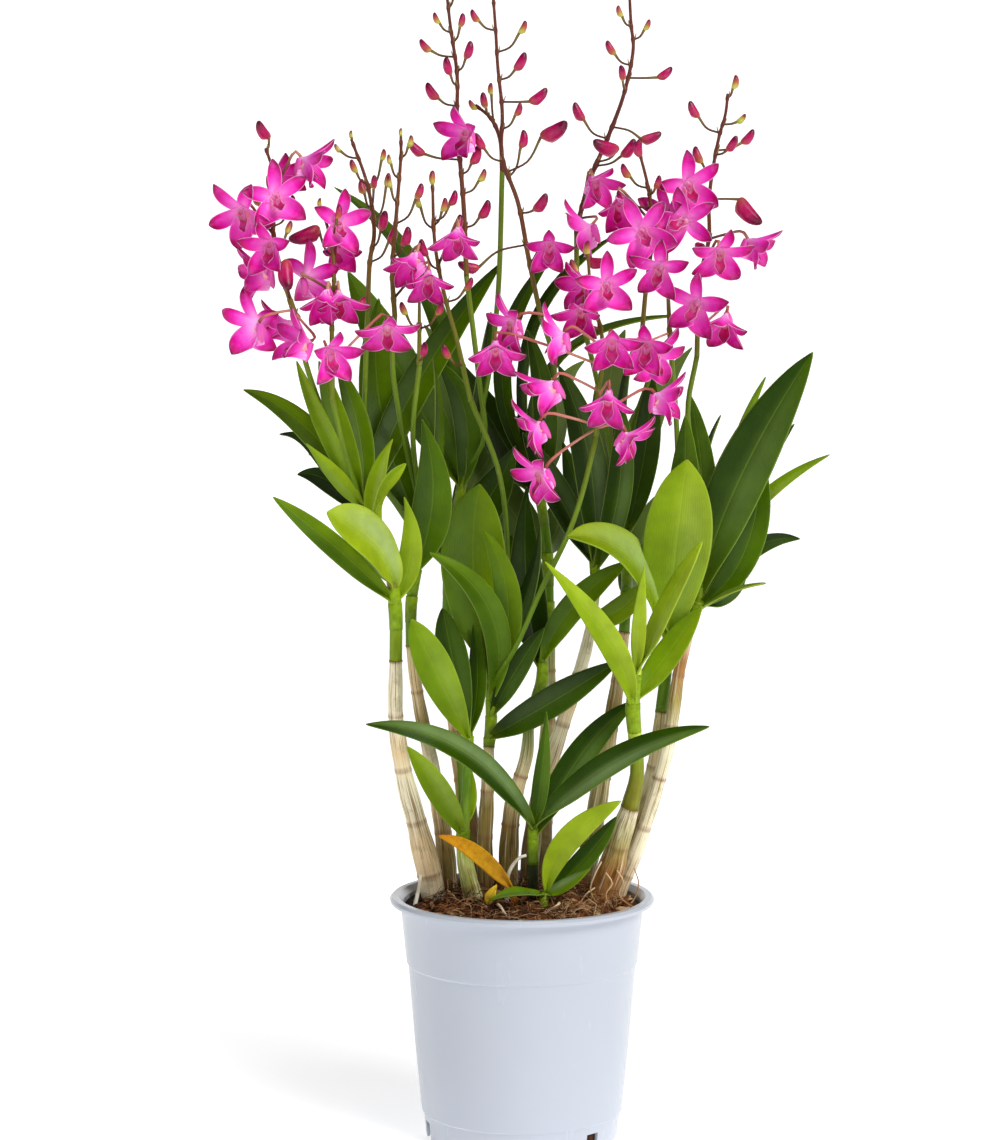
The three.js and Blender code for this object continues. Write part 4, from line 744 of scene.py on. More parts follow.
def alone(*pieces):
    """Selects only these pieces, the last of them active."""
    bpy.ops.object.select_all(action="DESELECT")
    for piece in pieces:
        piece.select_set(True)
    bpy.context.view_layer.objects.active = pieces[-1]
    return pieces[-1]


def tinted(piece, colours):
    """Keeps a colour for each vertex, which the materials read as the attribute tint."""
    tints = piece.data.color_attributes.get("tint")
    if tints is None:
        tints = piece.data.color_attributes.new("tint", "FLOAT_COLOR", "POINT")
    for datum, tone in zip(tints.data, colours):
        datum.color = tone


def add_sheet(across, along, place, tint, finish):
    """A grid whose points go where place(u, v) puts them, with u and v from 0 to 1."""
    bpy.ops.mesh.primitive_grid_add(x_subdivisions=across, y_subdivisions=along, size=1)
    sheet = bpy.context.active_object
    spots = [(vertex.co.x + 0.5, vertex.co.y + 0.5) for vertex in sheet.data.vertices]
    for vertex, (u, v) in zip(sheet.data.vertices, spots):
        vertex.co = place(u, v)
    if tint:
        tinted(sheet, [tint(u, v) for u, v in spots])
    sheet.data.materials.append(finish)
    return sheet


def close_seams(piece, gap=0.01 * MM):
    """Merges the points that lie together and turns every face outwards."""
    alone(piece)
    bpy.ops.object.mode_set(mode="EDIT")
    bpy.ops.mesh.select_all(action="SELECT")
    bpy.ops.mesh.remove_doubles(threshold=gap)
    bpy.ops.mesh.normals_make_consistent(inside=False)
    bpy.ops.object.mode_set(mode="OBJECT")


def across_of(line):
    """The direction that a tube round a line starts its seam from."""
    chord = line.point(1) - line.point(0)
    return Vector((0, 1, 0)) if abs(chord.y) < 0.7 * chord.length else Vector((1, 0, 0))


def add_tube(line, radius, tint, finish, sides, rings):
    """A sheet rolled round a line and pinched shut at both ends."""
    across = across_of(line)

    def place(u, v):
        ring = round(v * (rings + 2))
        share = min(1.0, max(0.0, (ring - 1) / rings))
        reach = 0 if ring in (0, rings + 2) else radius(share)
        tangent = line.tangent(share)
        side = tangent.cross(across).normalized()
        rise = side.cross(tangent)
        turn = 2 * math.pi * u
        return line.point(share) + (side * math.cos(turn) + rise * math.sin(turn)) * reach

    def skin(u, v):
        return tint(min(1.0, max(0.0, (v * (rings + 2) - 1) / rings)))

    return add_sheet(sides, rings + 2, place, skin, finish)


def joined(pieces):
    """Joins pieces into the last of them."""
    piece = alone(*pieces)
    if len(pieces) > 1:
        bpy.ops.object.join()
    return piece


def apply(piece, kind, **settings):
    """Adds a modifier to a piece and applies it."""
    alone(piece)
    modifier = piece.modifiers.new(kind.title(), kind)
    for name, value in settings.items():
        setattr(modifier, name, value)
    bpy.ops.object.modifier_apply(modifier=modifier.name)


def smooth(piece):
    """Subdivides a piece once, which rounds its form."""
    apply(piece, "SUBSURF", levels=1, render_levels=1)


def thicken(piece, thickness, underside=0):
    """Makes a sheet solid; its underside takes the material of that number."""
    apply(piece, "SOLIDIFY", thickness=thickness, offset=0, material_offset=underside,
          material_offset_rim=underside)


def copy_of(template, matrix, shade=None):
    """A copy of a template with its own mesh, set in place by a matrix."""
    copy = template.copy()
    copy.data = template.data.copy()
    copy.data.transform(matrix)
    if shade is not None:
        tints = copy.data.color_attributes["tint"]
        for datum in tints.data:
            datum.color = shade(datum.color)
    bpy.context.collection.objects.link(copy)
    return copy


def finished(piece, node):
    """Names a piece and hands it to the frame in place of its solid."""
    piece.name = piece.data.name = node + "_piece"
    alone(piece)
    bpy.ops.object.shade_smooth()
    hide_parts(node)
    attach(piece, "root")
    return piece


def basis(right, top, ahead, origin):
    """Sets the x, y and z axes of a form along these directions, and its origin at a place."""
    return Matrix.Translation(origin) @ Matrix((right, top, ahead)).transposed().to_4x4()


def facing(ahead, origin, roll):
    """Turns a form made about the z axis to face ahead, its own top kept uppermost."""
    ahead = ahead.normalized()
    right = Vector((0, 0, 1)).cross(ahead)
    right = right.normalized() if right.length > 0.01 else Vector((1, 0, 0))
    turn = Matrix.Rotation(roll, 4, "Z")
    return basis(right, ahead.cross(right), ahead, origin) @ turn


# ---------------------------------------------------------------- finishes


class Value:
    """A socket of a material; an expression on values adds its Math nodes."""

    def __init__(self, finish, socket):
        self.finish, self.socket = finish, socket

    def math(self, operation, first, second=0.0):
        settings = {"operation": operation}
        return self.finish.node("ShaderNodeMath", settings, {0: first, 1: second})

    def __add__(self, other):
        return self.math("ADD", self, other)

    __radd__ = __add__

    def __sub__(self, other):
        return self.math("SUBTRACT", self, other)

    def __rsub__(self, other):
        return self.math("SUBTRACT", other, self)

    def __mul__(self, other):
        return self.math("MULTIPLY", self, other)

    __rmul__ = __mul__

    def __pow__(self, other):
        return self.math("POWER", self, other)

    def __abs__(self):
        return self.math("ABSOLUTE", self)

    def sine(self):
        return self.math("SINE", self)

    def over(self, edge, blur):
        """0 below an edge and 1 above it, with a soft step of the width of blur."""
        return self.finish.node("ShaderNodeMapRange", {"interpolation_type": "SMOOTHSTEP"}, {
            "Value": self, "From Min": edge - blur, "From Max": edge + blur})


class Finish:
    """A material that is built node by node."""

    def __init__(self, name, **constants):
        self.material = bpy.data.materials.new(name)
        self.material.use_nodes = True
        self.tree = self.material.node_tree
        self.shader = self.tree.nodes["Principled BSDF"]
        for socket, value in constants.items():
            self.shader.inputs[socket.replace("_", " ")].default_value = value

    def node(self, kind, settings, sockets, output=0):
        """Adds a node, makes its settings, then sets or links its sockets."""
        node = self.tree.nodes.new(kind)
        for name, value in settings.items():
            if name == "stops":
                self.set_stops(node.color_ramp, value)
            else:
                setattr(node, name, value)
        for key, value in sockets.items():
            self.feed(node.inputs[key], value)
        return Value(self, node.outputs[output])

    @staticmethod
    def set_stops(ramp, stops):
        while len(ramp.elements) < len(stops):
            ramp.elements.new(1.0)
        for element, (position, tone) in zip(ramp.elements, stops):
            element.position, element.color = position, tone

    def feed(self, socket, value):
        if isinstance(value, Value):
            self.tree.links.new(value.socket, socket)
        else:
            socket.default_value = value

    def paint(self, **sockets):
        for name, value in sockets.items():
            self.feed(self.shader.inputs[name.replace("_", " ")], value)
        return self.material

    def place(self):
        return self.node("ShaderNodeTexCoord", {}, {}, "Object")

    def attribute(self, name):
        return self.node("ShaderNodeAttribute", {"attribute_name": name}, {}, "Color")

    def sheet(self):
        """The place on the piece's own sheet."""
        return self.node("ShaderNodeTexCoord", {}, {}, "UV")

    def across(self):
        """The share of the way across the piece's own sheet."""
        return self.node("ShaderNodeSeparateXYZ", {}, {0: self.sheet()}, 0)

    def along(self):
        """The share of the way along it."""
        return self.node("ShaderNodeSeparateXYZ", {}, {0: self.sheet()}, 1)

    def stretched(self, vector, scale):
        return self.node("ShaderNodeMapping", {}, {"Vector": vector, "Scale": scale})

    def noise(self, vector, scale, detail=3.0, roughness=0.55):
        return self.node("ShaderNodeTexNoise", {}, {
            "Vector": vector, "Scale": scale, "Detail": detail, "Roughness": roughness})

    def mix(self, factor, low, high, blend="MIX"):
        return self.node("ShaderNodeMix", {"data_type": "RGBA", "blend_type": blend},
                         {0: factor, 6: low, 7: high}, 2)

    def bump(self, height, strength, distance):
        return self.node("ShaderNodeBump", {}, {
            "Height": height, "Strength": strength, "Distance": distance})


def moulded_plastic():
    finish = Finish("moulded_plastic", Specular_IOR_Level=0.35, Coat_Weight=0.12,
                    Coat_Roughness=0.08)
    clouds = finish.noise(finish.place(), 22.0, 2.0)
    rubs = finish.noise(finish.stretched(finish.place(), (1.0, 1.0, 0.12)), 160.0, 4.0)
    base = finish.mix(clouds * 0.3, tuple(bpy.context.scene.orchid_pot.plastic),
                      colour(190, 200, 216))
    return finish.paint(Base_Color=base, Roughness=0.22 + rubs * 0.08,
                        Normal=finish.bump(clouds, 0.04, 0.0006))


def shredded_bark():
    finish = Finish("shredded_bark", Specular_IOR_Level=0.25)
    grain = finish.noise(finish.place(), 700.0, 6.0, 0.7)
    lumps = finish.noise(finish.place(), 140.0, 4.0, 0.6)
    base = finish.mix(lumps, finish.attribute("tint"), grey(0.6), "MULTIPLY")
    base = finish.mix(grain.over(0.6, 0.1) * 0.3, base, colour(190, 130, 80))
    return finish.paint(Base_Color=base, Roughness=0.8 + grain * 0.15,
                        Normal=finish.bump(grain + lumps, 0.7, 0.0012))


def papery_cane():
    finish = Finish("papery_cane", Specular_IOR_Level=0.35)
    streaks = finish.noise(finish.stretched(finish.sheet(), (34.0, 3.0, 1.0)), 1.0, 4.0, 0.6)
    fibres = finish.noise(finish.stretched(finish.sheet(), (70.0, 5.0, 1.0)), 1.0, 3.0, 0.6)
    stains = finish.noise(finish.place(), 110.0, 5.0, 0.65)
    worn = finish.noise(finish.place(), 45.0, 2.0).over(0.48, 0.12)
    tint = finish.attribute("tint")
    deep = finish.mix(1.0, tint, colour(150, 124, 82), "MULTIPLY")
    base = finish.mix(streaks.over(0.56, 0.07) * (0.3 + worn * 0.6), tint, deep)
    base = finish.mix(fibres.over(0.58, 0.05) * worn * 0.9, base, deep)
    base = finish.mix(stains.over(0.6, 0.08) * 0.4, base, colour(140, 132, 84))
    base = finish.mix(streaks.over(0.36, 0.1), colour(248, 240, 214), base)
    return finish.paint(Base_Color=base, Roughness=0.5 + stains * 0.3,
                        Normal=finish.bump(streaks, 0.45, 0.0007))


def leaf_skin(name, under):
    """The upper or the under side of a leaf: fine veins along it, a pale midrib and edge."""
    finish = Finish(name, Specular_IOR_Level=0.1)
    u = finish.across()
    from_rib = abs(u - 0.5)
    blotches = finish.noise(finish.place(), 60.0, 4.0, 0.6)
    waver = finish.noise(finish.place(), 45.0, 1.0)
    veins = (u * 170.0 + waver * 3.0).sine() * 0.5 + 0.5
    tint = finish.attribute("tint")
    deep = finish.mix(1.0, tint, grey(0.62), "MULTIPLY")
    base = finish.mix(blotches.over(0.5, 0.22) * 0.75, tint, deep)
    base = finish.mix(veins * 0.2, base, deep)
    if under:
        base = finish.mix(0.25, base, colour(160, 184, 90))
    base = finish.mix((1 - from_rib.over(0.014, 0.012)) * 0.16, base, colour(160, 190, 60))
    base = finish.mix(from_rib.over(0.487, 0.008) * 0.12, base, colour(190, 206, 100))
    relief = veins * 0.25 + from_rib.over(0.02, 0.02) + blotches * 0.3
    return finish.paint(Base_Color=base, Roughness=(0.45 if under else 0.2) + blotches * 0.16,
                        Normal=finish.bump(relief, 0.3, 0.0005))


def stalk_skin():
    finish = Finish("stalk_skin", Specular_IOR_Level=0.2)
    streaks = finish.noise(finish.stretched(finish.sheet(), (9.0, 5.0, 1.0)), 1.0, 3.0)
    flecks = finish.noise(finish.place(), 420.0, 3.0)
    tint = finish.attribute("tint")
    deep = finish.mix(1.0, tint, grey(0.55), "MULTIPLY")
    base = finish.mix(streaks.over(0.52, 0.14) * 0.6, tint, deep)
    base = finish.mix(flecks.over(0.66, 0.05) * 0.15, base, colour(186, 180, 90))
    return finish.paint(Base_Color=base, Roughness=0.38 + streaks * 0.2,
                        Normal=finish.bump(streaks, 0.25, 0.0004))


def petal_skin():
    """Thin petals: a tint from pink to crimson, faint veins, a pale edge, and a painted glow as of
    light through them.
    """
    finish = Finish("petal_skin", Specular_IOR_Level=0.22, Emission_Strength=0.08)
    u, v = finish.across(), finish.along()
    from_rib = abs(u - 0.5)
    waver = finish.noise(finish.place(), 160.0, 2.0)
    veins = ((u * 62.0 + waver * 2.5).sine() * 0.5 + 0.5) ** 3.0
    clouds = finish.noise(finish.place(), 240.0, 2.0)
    tint = finish.attribute("tint")
    deep = finish.mix(1.0, tint, colour(222, 120, 196), "MULTIPLY")
    base = finish.mix(veins * (1 - v) * 0.45, tint, deep)
    base = finish.mix(clouds.over(0.55, 0.15) * 0.18, base, colour(250, 120, 232))
    rim = from_rib.over(0.47, 0.015) * v.over(0.35, 0.2)
    base = finish.mix(rim * 0.5, base, colour(255, 190, 240))
    return finish.paint(Base_Color=base, Emission_Color=base, Roughness=0.36 + clouds * 0.14,
                        Normal=finish.bump(veins, 0.18, 0.0003))


def bud_skin():
    # A faint painted glow, as of light through the skin.
    finish = Finish("bud_skin", Specular_IOR_Level=0.3, Emission_Strength=0.03)
    seams = ((finish.across() * (BUD_SEAMS * 2 * math.pi)).sine() * 0.5 + 0.5) ** 12.0
    clouds = finish.noise(finish.place(), 420.0, 3.0)
    tint = finish.attribute("tint")
    deep = finish.mix(1.0, tint, grey(0.3), "MULTIPLY")
    base = finish.mix(seams * finish.along() * 0.5, tint, deep)
    base = finish.mix(clouds.over(0.58, 0.12) * 0.12, base, colour(232, 120, 150))
    return finish.paint(Base_Color=base, Emission_Color=base, Roughness=0.24 + clouds * 0.14,
                        Normal=finish.bump(seams, 0.3, 0.0003))


def withered_skin():
    finish = Finish("withered_skin", Specular_IOR_Level=0.2)
    creases = finish.noise(finish.place(), 260.0, 5.0, 0.7)
    veins = (finish.across() * 60.0 + creases * 6.0).sine() * 0.5 + 0.5
    base = finish.mix(creases.over(0.56, 0.15) * 0.5, finish.attribute("tint"),
                      colour(140, 84, 26))
    return finish.paint(Base_Color=base, Roughness=0.75 + creases * 0.2,
                        Normal=finish.bump(veins * 0.4 + creases, 0.4, 0.001))


def bare_root():
    finish = Finish("bare_root", Specular_IOR_Level=0.2)
    fuzz = finish.noise(finish.place(), 900.0, 5.0, 0.7)
    stains = finish.noise(finish.place(), 180.0, 3.0)
    base = finish.mix(stains.over(0.55, 0.12) * 0.6, finish.attribute("tint"),
                      colour(176, 158, 120))
    return finish.paint(Base_Color=base, Roughness=0.8 + fuzz * 0.15,
                        Normal=finish.bump(fuzz, 0.5, 0.0005))


def floor_paper():
    finish = Finish("floor_paper", Specular_IOR_Level=0.1,
                    Emission_Strength=bpy.context.scene.orchid_stage.floor_glow)
    fibres = finish.noise(finish.place(), 60.0, 3.0)
    base = finish.mix(fibres * 0.1, tuple(bpy.context.scene.orchid_stage.floor_colour),
                      grey(0.76))
    return finish.paint(Base_Color=base, Emission_Color=base, Roughness=0.9 + fibres * 0.05)


FINISHES = {
    "moulded_plastic": moulded_plastic,
    "shredded_bark": shredded_bark,
    "papery_cane": papery_cane,
    "leaf_top": lambda: leaf_skin("leaf_top", False),
    "leaf_under": lambda: leaf_skin("leaf_under", True),
    "stalk_skin": stalk_skin,
    "petal_skin": petal_skin,
    "bud_skin": bud_skin,
    "withered_skin": withered_skin,
    "bare_root": bare_root,
    "floor_paper": floor_paper,
}


def finish_named(name):
    """The material of this name, made when it is first asked for."""
    return bpy.data.materials.get(name) or FINISHES[name]()


# ---------------------------------------------------------------- pot and mix


def wall_outside(z):
    """The outer radius of the pot's wall at a height, in millimetres."""
    top = POT_HEIGHT - RIM_DEPTH
    return FOOT_RADIUS + (SHOULDER_RADIUS - FOOT_RADIUS) * z / top


def wall_inside(z):
    """Its inner radius at a height."""
    top = POT_HEIGHT - RIM_DEPTH
    bottom = FOOT_RADIUS - FOOT_IN - WALL
    return bottom + (SHOULDER_RADIUS - WALL - bottom) * (z - FLOOR) / (top - FLOOR)


def turned(outline, sides, finish):
    """A body of revolution about the z axis, from (radius, height) pairs in millimetres."""
    last = len(outline) - 1

    def place(u, v):
        radius, height = outline[round(v * last)]
        turn = 2 * math.pi * u
        return Vector((radius * math.cos(turn), radius * math.sin(turn), height)) * MM

    body = add_sheet(sides, last, place, None, finish)
    close_seams(body)
    return body


def pot_outline():
    """The pot's section, from the middle of its underside round the rim to its inner floor."""
    step, foot = POT_HEIGHT - STEP_DEPTH, FOOT_RADIUS - FOOT_IN
    under_rim = POT_HEIGHT - RIM_DEPTH
    middle = (step + FOOT_HEIGHT) / 2
    return (
        (0, 0), (PAD_RADIUS / 2, 0), (PAD_RADIUS - 1, 0), (PAD_RADIUS, PAD_RISE),
        (foot - RING_WIDTH - RING_SLOPE, PAD_RISE), (foot - RING_WIDTH, 0), (foot, 0),
        (wall_outside(FOOT_HEIGHT) - FOOT_IN, FOOT_HEIGHT),
        (wall_outside(FOOT_HEIGHT + 1), FOOT_HEIGHT + 1), (wall_outside(middle) - 0.1, middle),
        (wall_outside(step) - STEP_IN, step - 1), (wall_outside(step), step),
        (SHOULDER_RADIUS, under_rim), (RIM_RADIUS - RIM_TAPER, under_rim),
        (RIM_RADIUS, POT_HEIGHT - RIM_CHAMFER), (RIM_RADIUS - RIM_CHAMFER, POT_HEIGHT),
        (MOUTH_RADIUS, POT_HEIGHT), (wall_inside(under_rim), under_rim),
        (wall_inside(step), step), (wall_inside(FLOOR), FLOOR), (0, FLOOR),
    )


def make_pot():
    """The pot, with its drain slots cut and its edges rounded."""
    settings = bpy.context.scene.orchid_pot
    body = turned(pot_outline(), settings.sides, finish_named("moulded_plastic"))
    for number in range(SLOT_COUNT):
        turn = number / SLOT_COUNT * 2 * math.pi + SLOT_TURN
        spot = Vector((math.sin(turn), -math.cos(turn), 0)) * FOOT_RADIUS * MM
        bpy.ops.mesh.primitive_cube_add(size=1, rotation=(0, 0, turn), location=spot)
        cutter = bpy.context.active_object
        cutter.scale = Vector((SLOT_WIDTH, SLOT_DEPTH, SLOT_HEIGHT * 2)) * MM
        bpy.context.view_layer.update()
        apply(body, "BOOLEAN", operation="DIFFERENCE", object=cutter, solver="EXACT")
        bpy.data.objects.remove(cutter)
    apply(body, "BEVEL", width=settings.edge_round, segments=3, limit_method="ANGLE",
          angle_limit=EDGE_ANGLE, harden_normals=False)
    finished(body, "pot")
    bpy.ops.object.shade_smooth_by_angle(angle=SMOOTH_ANGLE)


def mix_surface(x, y):
    """The height of the heaped mix, in millimetres, as in the solid."""
    share = math.hypot(x, y) / wall_inside(MIX_LEVEL)
    heap = MIX_CROWN * max(0, 1 - share * share) * (1 + 0.4 * math.tanh(y / 20))
    lumps = math.sin(x * 0.31 + 1.7) * math.cos(y * 0.27) + 0.6 * math.sin(x * 0.62 - y * 0.53)
    return MIX_LEVEL + heap + MIX_RELIEF * 0.6 * lumps * max(0, 1 - share ** 6)


def mix_top(x, y):
    """The same height with the loose bits that are banked up against the wall of the pot."""
    return mix_surface(x, y) + MIX_BANK * (math.hypot(x, y) / wall_inside(MIX_LEVEL)) ** 10


def mix_body():
    """The heap itself: a rough disc on top, and plain sides and bottom in the pot."""
    bottom = FLOOR + MIX_GAP
    outer = wall_inside(MIX_LEVEL) - MIX_GAP

    def place(u, v):
        turn = 2 * math.pi * u
        ring = round(v * (MIX_RINGS + 2))
        if ring > MIX_RINGS:
            radius = 0 if ring == MIX_RINGS + 2 else wall_inside(bottom) - MIX_GAP
            return Vector((radius * math.cos(turn), radius * math.sin(turn), bottom)) * MM
        share = ring / MIX_RINGS
        x, y = outer * share * math.cos(turn), outer * share * math.sin(turn)
        crumbs = sum(noise.noise(Vector((x, y, seed)) * fineness) * height
                     for seed, fineness, height in CRUMBS)
        return Vector((x, y, mix_top(x, y) + crumbs * (1 - share ** 8))) * MM

    def tint(u, v):
        turn = 2 * math.pi * u
        dapple = noise.noise(Vector((math.cos(turn), math.sin(turn), v * 3)) * 4)
        return mixed(BARK[0], BARK[1], 0.2 + dapple + 0.3 * v * math.cos(turn))

    body = add_sheet(MIX_SIDES, MIX_RINGS + 2, place, tint, finish_named("shredded_bark"))
    close_seams(body)
    return body


def chip_template():
    """A rough lump about the origin, 1 m in radius, to be scaled down."""
    bpy.ops.mesh.primitive_ico_sphere_add(subdivisions=1, radius=1)
    chip = bpy.context.active_object
    draw = random.Random(5)
    for vertex in chip.data.vertices:
        vertex.co *= draw.uniform(0.7, 1.15)
    chip.data.materials.append(finish_named("shredded_bark"))
    tinted(chip, [BARK[1]] * len(chip.data.vertices))
    return chip


def fibre_template(bend):
    """A thread along x, 1 m long and bowed upwards, to be scaled down."""
    spots = [(step / 6, 0.05 * math.sin(step * 1.9)) for step in range(7)]
    line = Line([Vector((share - 0.5, sway, bend * math.sin(share * math.pi)))
                 for share, sway in spots])
    fibre = add_tube(line, lambda share: 0.02 * (1 - 0.7 * abs(2 * share - 1)),
                     lambda share: BARK[3], finish_named("shredded_bark"), sides=3, rings=5)
    close_seams(fibre, 0.001)
    return fibre


def scatter(template, count, draw, size, lift):
    """Copies of a template laid all over the mix, each turned, sized and coloured by draw."""
    reach = wall_inside(MIX_LEVEL) - CLEAR_OF_WALL
    copies = []
    for _ in range(count):
        turn, radius = draw.uniform(0, 2 * math.pi), reach * draw.random() ** 0.5
        scale = Vector([draw.uniform(*span) for span in size]) * MM
        radius = min(radius, wall_inside(MIX_LEVEL) - 1 - scale.x / MM)
        x, y = radius * math.cos(turn), radius * math.sin(turn)
        spot = Vector((x, y, mix_top(x, y) + draw.uniform(*lift))) * MM
        matrix = (Matrix.Translation(spot) @ Matrix.Rotation(draw.uniform(0, 2 * math.pi), 4, "Z")
                  @ Matrix.Rotation(draw.gauss(0, BIT_PITCH), 4, "Y")
                  @ Matrix.Rotation(draw.gauss(0, BIT_ROLL), 4, "X")
                  @ Matrix.Diagonal(scale).to_4x4())
        paler_right = 0.48 * (0.5 + x / reach / 2)
        tone = along_stops(BARK, 0.8 * draw.random() ** 1.6 + paler_right)
        copies.append(copy_of(template, matrix, lambda old, tone=tone: tone))
    bpy.data.objects.remove(template)
    return copies


def make_rootlet(places, width, foot, tip):
    """A thin root that tapers along its length and changes from one colour to another."""
    rootlet = add_tube(through(places), lambda share: width * (1 - 0.5 * share) * MM,
                       lambda share: mixed(foot, tip, share), finish_named("bare_root"),
                       sides=5, rings=12)
    close_seams(rootlet)
    return rootlet


def make_mix():
    """The heaped mix with its loose chips and fibres, and the thin roots on it."""
    settings = bpy.context.scene.orchid_mix
    draw = random.Random(settings.seed)
    pieces = scatter(chip_template(), settings.chips, draw, CHIP_SIZE, CHIP_LIFT)
    for bend, share in FIBRE_BENDS:
        count = int(settings.fibres * share)
        pieces += scatter(fibre_template(bend), count, draw, FIBRE_SIZE, FIBRE_LIFT)
    pieces += [make_rootlet(places, ROOTLET_RADIUS, TAN, RUST) for places in ROOTLETS]
    pieces += [make_rootlet(places, ROOT_TIP_RADIUS, TAN, ROOT) for places in ROOT_TIPS]
    finished(joined(pieces + [mix_body()]), "bark_mix")


# ---------------------------------------------------------------- canes and leafy stems


def make_cane(name, places, radii):
    """A cane swells between its joints and has a thin brown ring at each."""
    line = rooted(places)
    radii = (radii[0] * CANE_FOOT, *radii)
    joints = max(2, round(line.length / (JOINT_SPACING * MM)))
    skins = CANE_SKINS[name]

    def near_joint(share, reach):
        """1 at a joint, falling to 0 at a reach in millimetres from it."""
        gap = share * joints
        return max(0.0, 1 - abs(gap - round(gap)) * line.length / joints / MM / reach)

    def radius(share):
        waist = JOINT_WAIST + (1 - JOINT_WAIST) * math.sin(math.pi * share * joints) ** 2
        return (stepped(radii, share) * waist + JOINT_RIDGE * near_joint(share, RIDGE_REACH)) * MM

    def tint(share):
        tone = along_stops(skins, share)
        return mixed(tone, BROWN, JOINT_STAIN * near_joint(share, STAIN_REACH))

    rings = round(line.length / MM / CANE_RING)
    cane = add_tube(line, radius, tint, finish_named("papery_cane"), sides=16, rings=rings)
    close_seams(cane)
    finished(cane, name)


def blade_shape(form, share):
    """Half of a blade's width against its greatest half width."""
    belly, fullness, base = FORM[form]
    body = math.sin(math.pi * min(1.0, share) ** belly)
    petiole = base * (1 - share) ** 2
    return petiole + (1 - petiole) * max(0.0, body) ** fullness


def add_leaf(row, stem, draw, finish="leaf_top"):
    """A blade, folded deeply where it clasps the stem and opening towards its tip."""
    form, width, look, tone_share, base, middle, tip = row
    spine = leaf_line(stem.point(stem.nearest(at(base))), at(middle), at(tip))
    ahead = Vector(LOOK[look]).normalized()
    phase, twist = draw.uniform(0, 2 * math.pi), draw.uniform(-LEAF_TWIST, LEAF_TWIST)
    shift = draw.uniform(-TONE_SPREAD, TONE_SPREAD)
    # A painted sheen, strong on leaves that face the sky, along one half of the blade.
    painted_sheen_strength = draw.uniform(*(PAINTED_SHEEN_FACING_UP if look == "brow" else PAINTED_SHEEN_ELSEWHERE))
    painted_sheen_side = draw.choice(PAINTED_SHEEN_SIDES)
    # One half of each blade is painted lighter than the other, as painted light and shade across its
    # fold.
    painted_shade_half = along_stops(LEAF, tone_share + shift)
    painted_light_half = along_stops(LEAF, tone_share + shift + PAINTED_LIGHT_SIDE)

    def place(u, v):
        tangent = spine.tangent(v)
        up = (ahead - tangent * ahead.dot(tangent)).normalized()
        up = Matrix.Rotation(twist * v, 3, tangent) @ up
        side = tangent.cross(up)
        half = max(0.25, width / 2 * blade_shape(form, v)) * MM
        fold = LEAF_FOLD + (BASE_FOLD - LEAF_FOLD) * (1 - eased(v / BASE_REACH))
        across = 2 * u - 1
        wave = LEAF_WAVE * math.sin(9 * v + phase) * across * eased(v * 3)
        lift = abs(across) ** 1.25 * math.sin(fold) + wave
        return spine.point(v) + side * across * half * math.cos(fold) + up * half * lift

    def tint(u, v):
        # Painted shade on one half of the blade and painted light on the other.
        tone = mixed(painted_shade_half, painted_light_half, eased(2 * u - 0.5) + 0.2 * math.sin(5 * v + phase))
        # The painted sheen, laid along one half of the blade over its tone.
        sheen = painted_sheen_strength * (0.4 + 0.6 * tone_share) * math.sin(math.pi * v ** 0.8)
        sheen *= math.exp(-((u - painted_sheen_side) / PAINTED_SHEEN_WIDTH) ** 2)
        tone = mixed(tone, PAINTED_SHEEN, sheen)
        return mixed(mixed(tone, LEAF[4], PALE_FOOT), tone, v / FOOT_REACH)

    return add_sheet(6, 14, place, tint, finish_named(finish))


def make_leafy_stem(name, places, radii, leaves, stalks):
    """A stem with its leaves, the sheaths that they roll round it, and its flower stalks."""
    draw = random.Random(name)
    line = through(places)
    skins = STEM_SKINS.get(name, PLAIN_GREEN)
    blades = joined([add_leaf(row, line, draw) for row in leaves])
    blades.data.materials.append(finish_named("leaf_under"))
    thicken(blades, LEAF_THICKNESS * MM, underside=1)
    smooth(blades)
    tubes = [add_tube(starting_below(line, OVERLAP), lambda share: stepped(radii, share) * MM,
                      lambda share: along_stops(skins, share), finish_named("stalk_skin"),
                      sides=12, rings=16)]
    for *_, tone, base, _, _ in leaves:
        tubes.append(add_sheath(line, line.nearest(at(base)), radii, tone))
    for stalk_places in stalks:
        first, *rest = (at(place) for place in stalk_places)
        stalk = smooth_line([line.point(line.nearest(first)), *rest])
        tubes.append(add_tube(stalk, lambda share: PEDUNCLE_RADIUS * MM,
                              lambda share: mixed(LEAF[2], RACHIS[0], share),
                              finish_named("stalk_skin"), sides=8, rings=20))
    stem = joined(tubes)
    close_seams(stem)
    finished(joined([stem, blades]), name)


def add_sheath(line, top, radii, tone):
    """The foot of a leaf, rolled round the stem below the place where the blade leaves it."""
    drop = SHEATH_LENGTH * MM / line.length
    low = max(0.0, top - drop)
    part = Line([line.point(low + (top - low) * step / 6) for step in range(7)])

    def radius(share):
        flare = SHEATH_THICKNESS + SHEATH_FLARE * share
        return (stepped(radii, low + (top - low) * share) + flare) * MM

    skin = mixed(along_stops(LEAF, tone), LIME, 0.3)
    return add_tube(part, radius, lambda share: mixed(skin, LEAF[3], share),
                    finish_named("stalk_skin"), sides=10, rings=6)


# ---------------------------------------------------------------- flowers


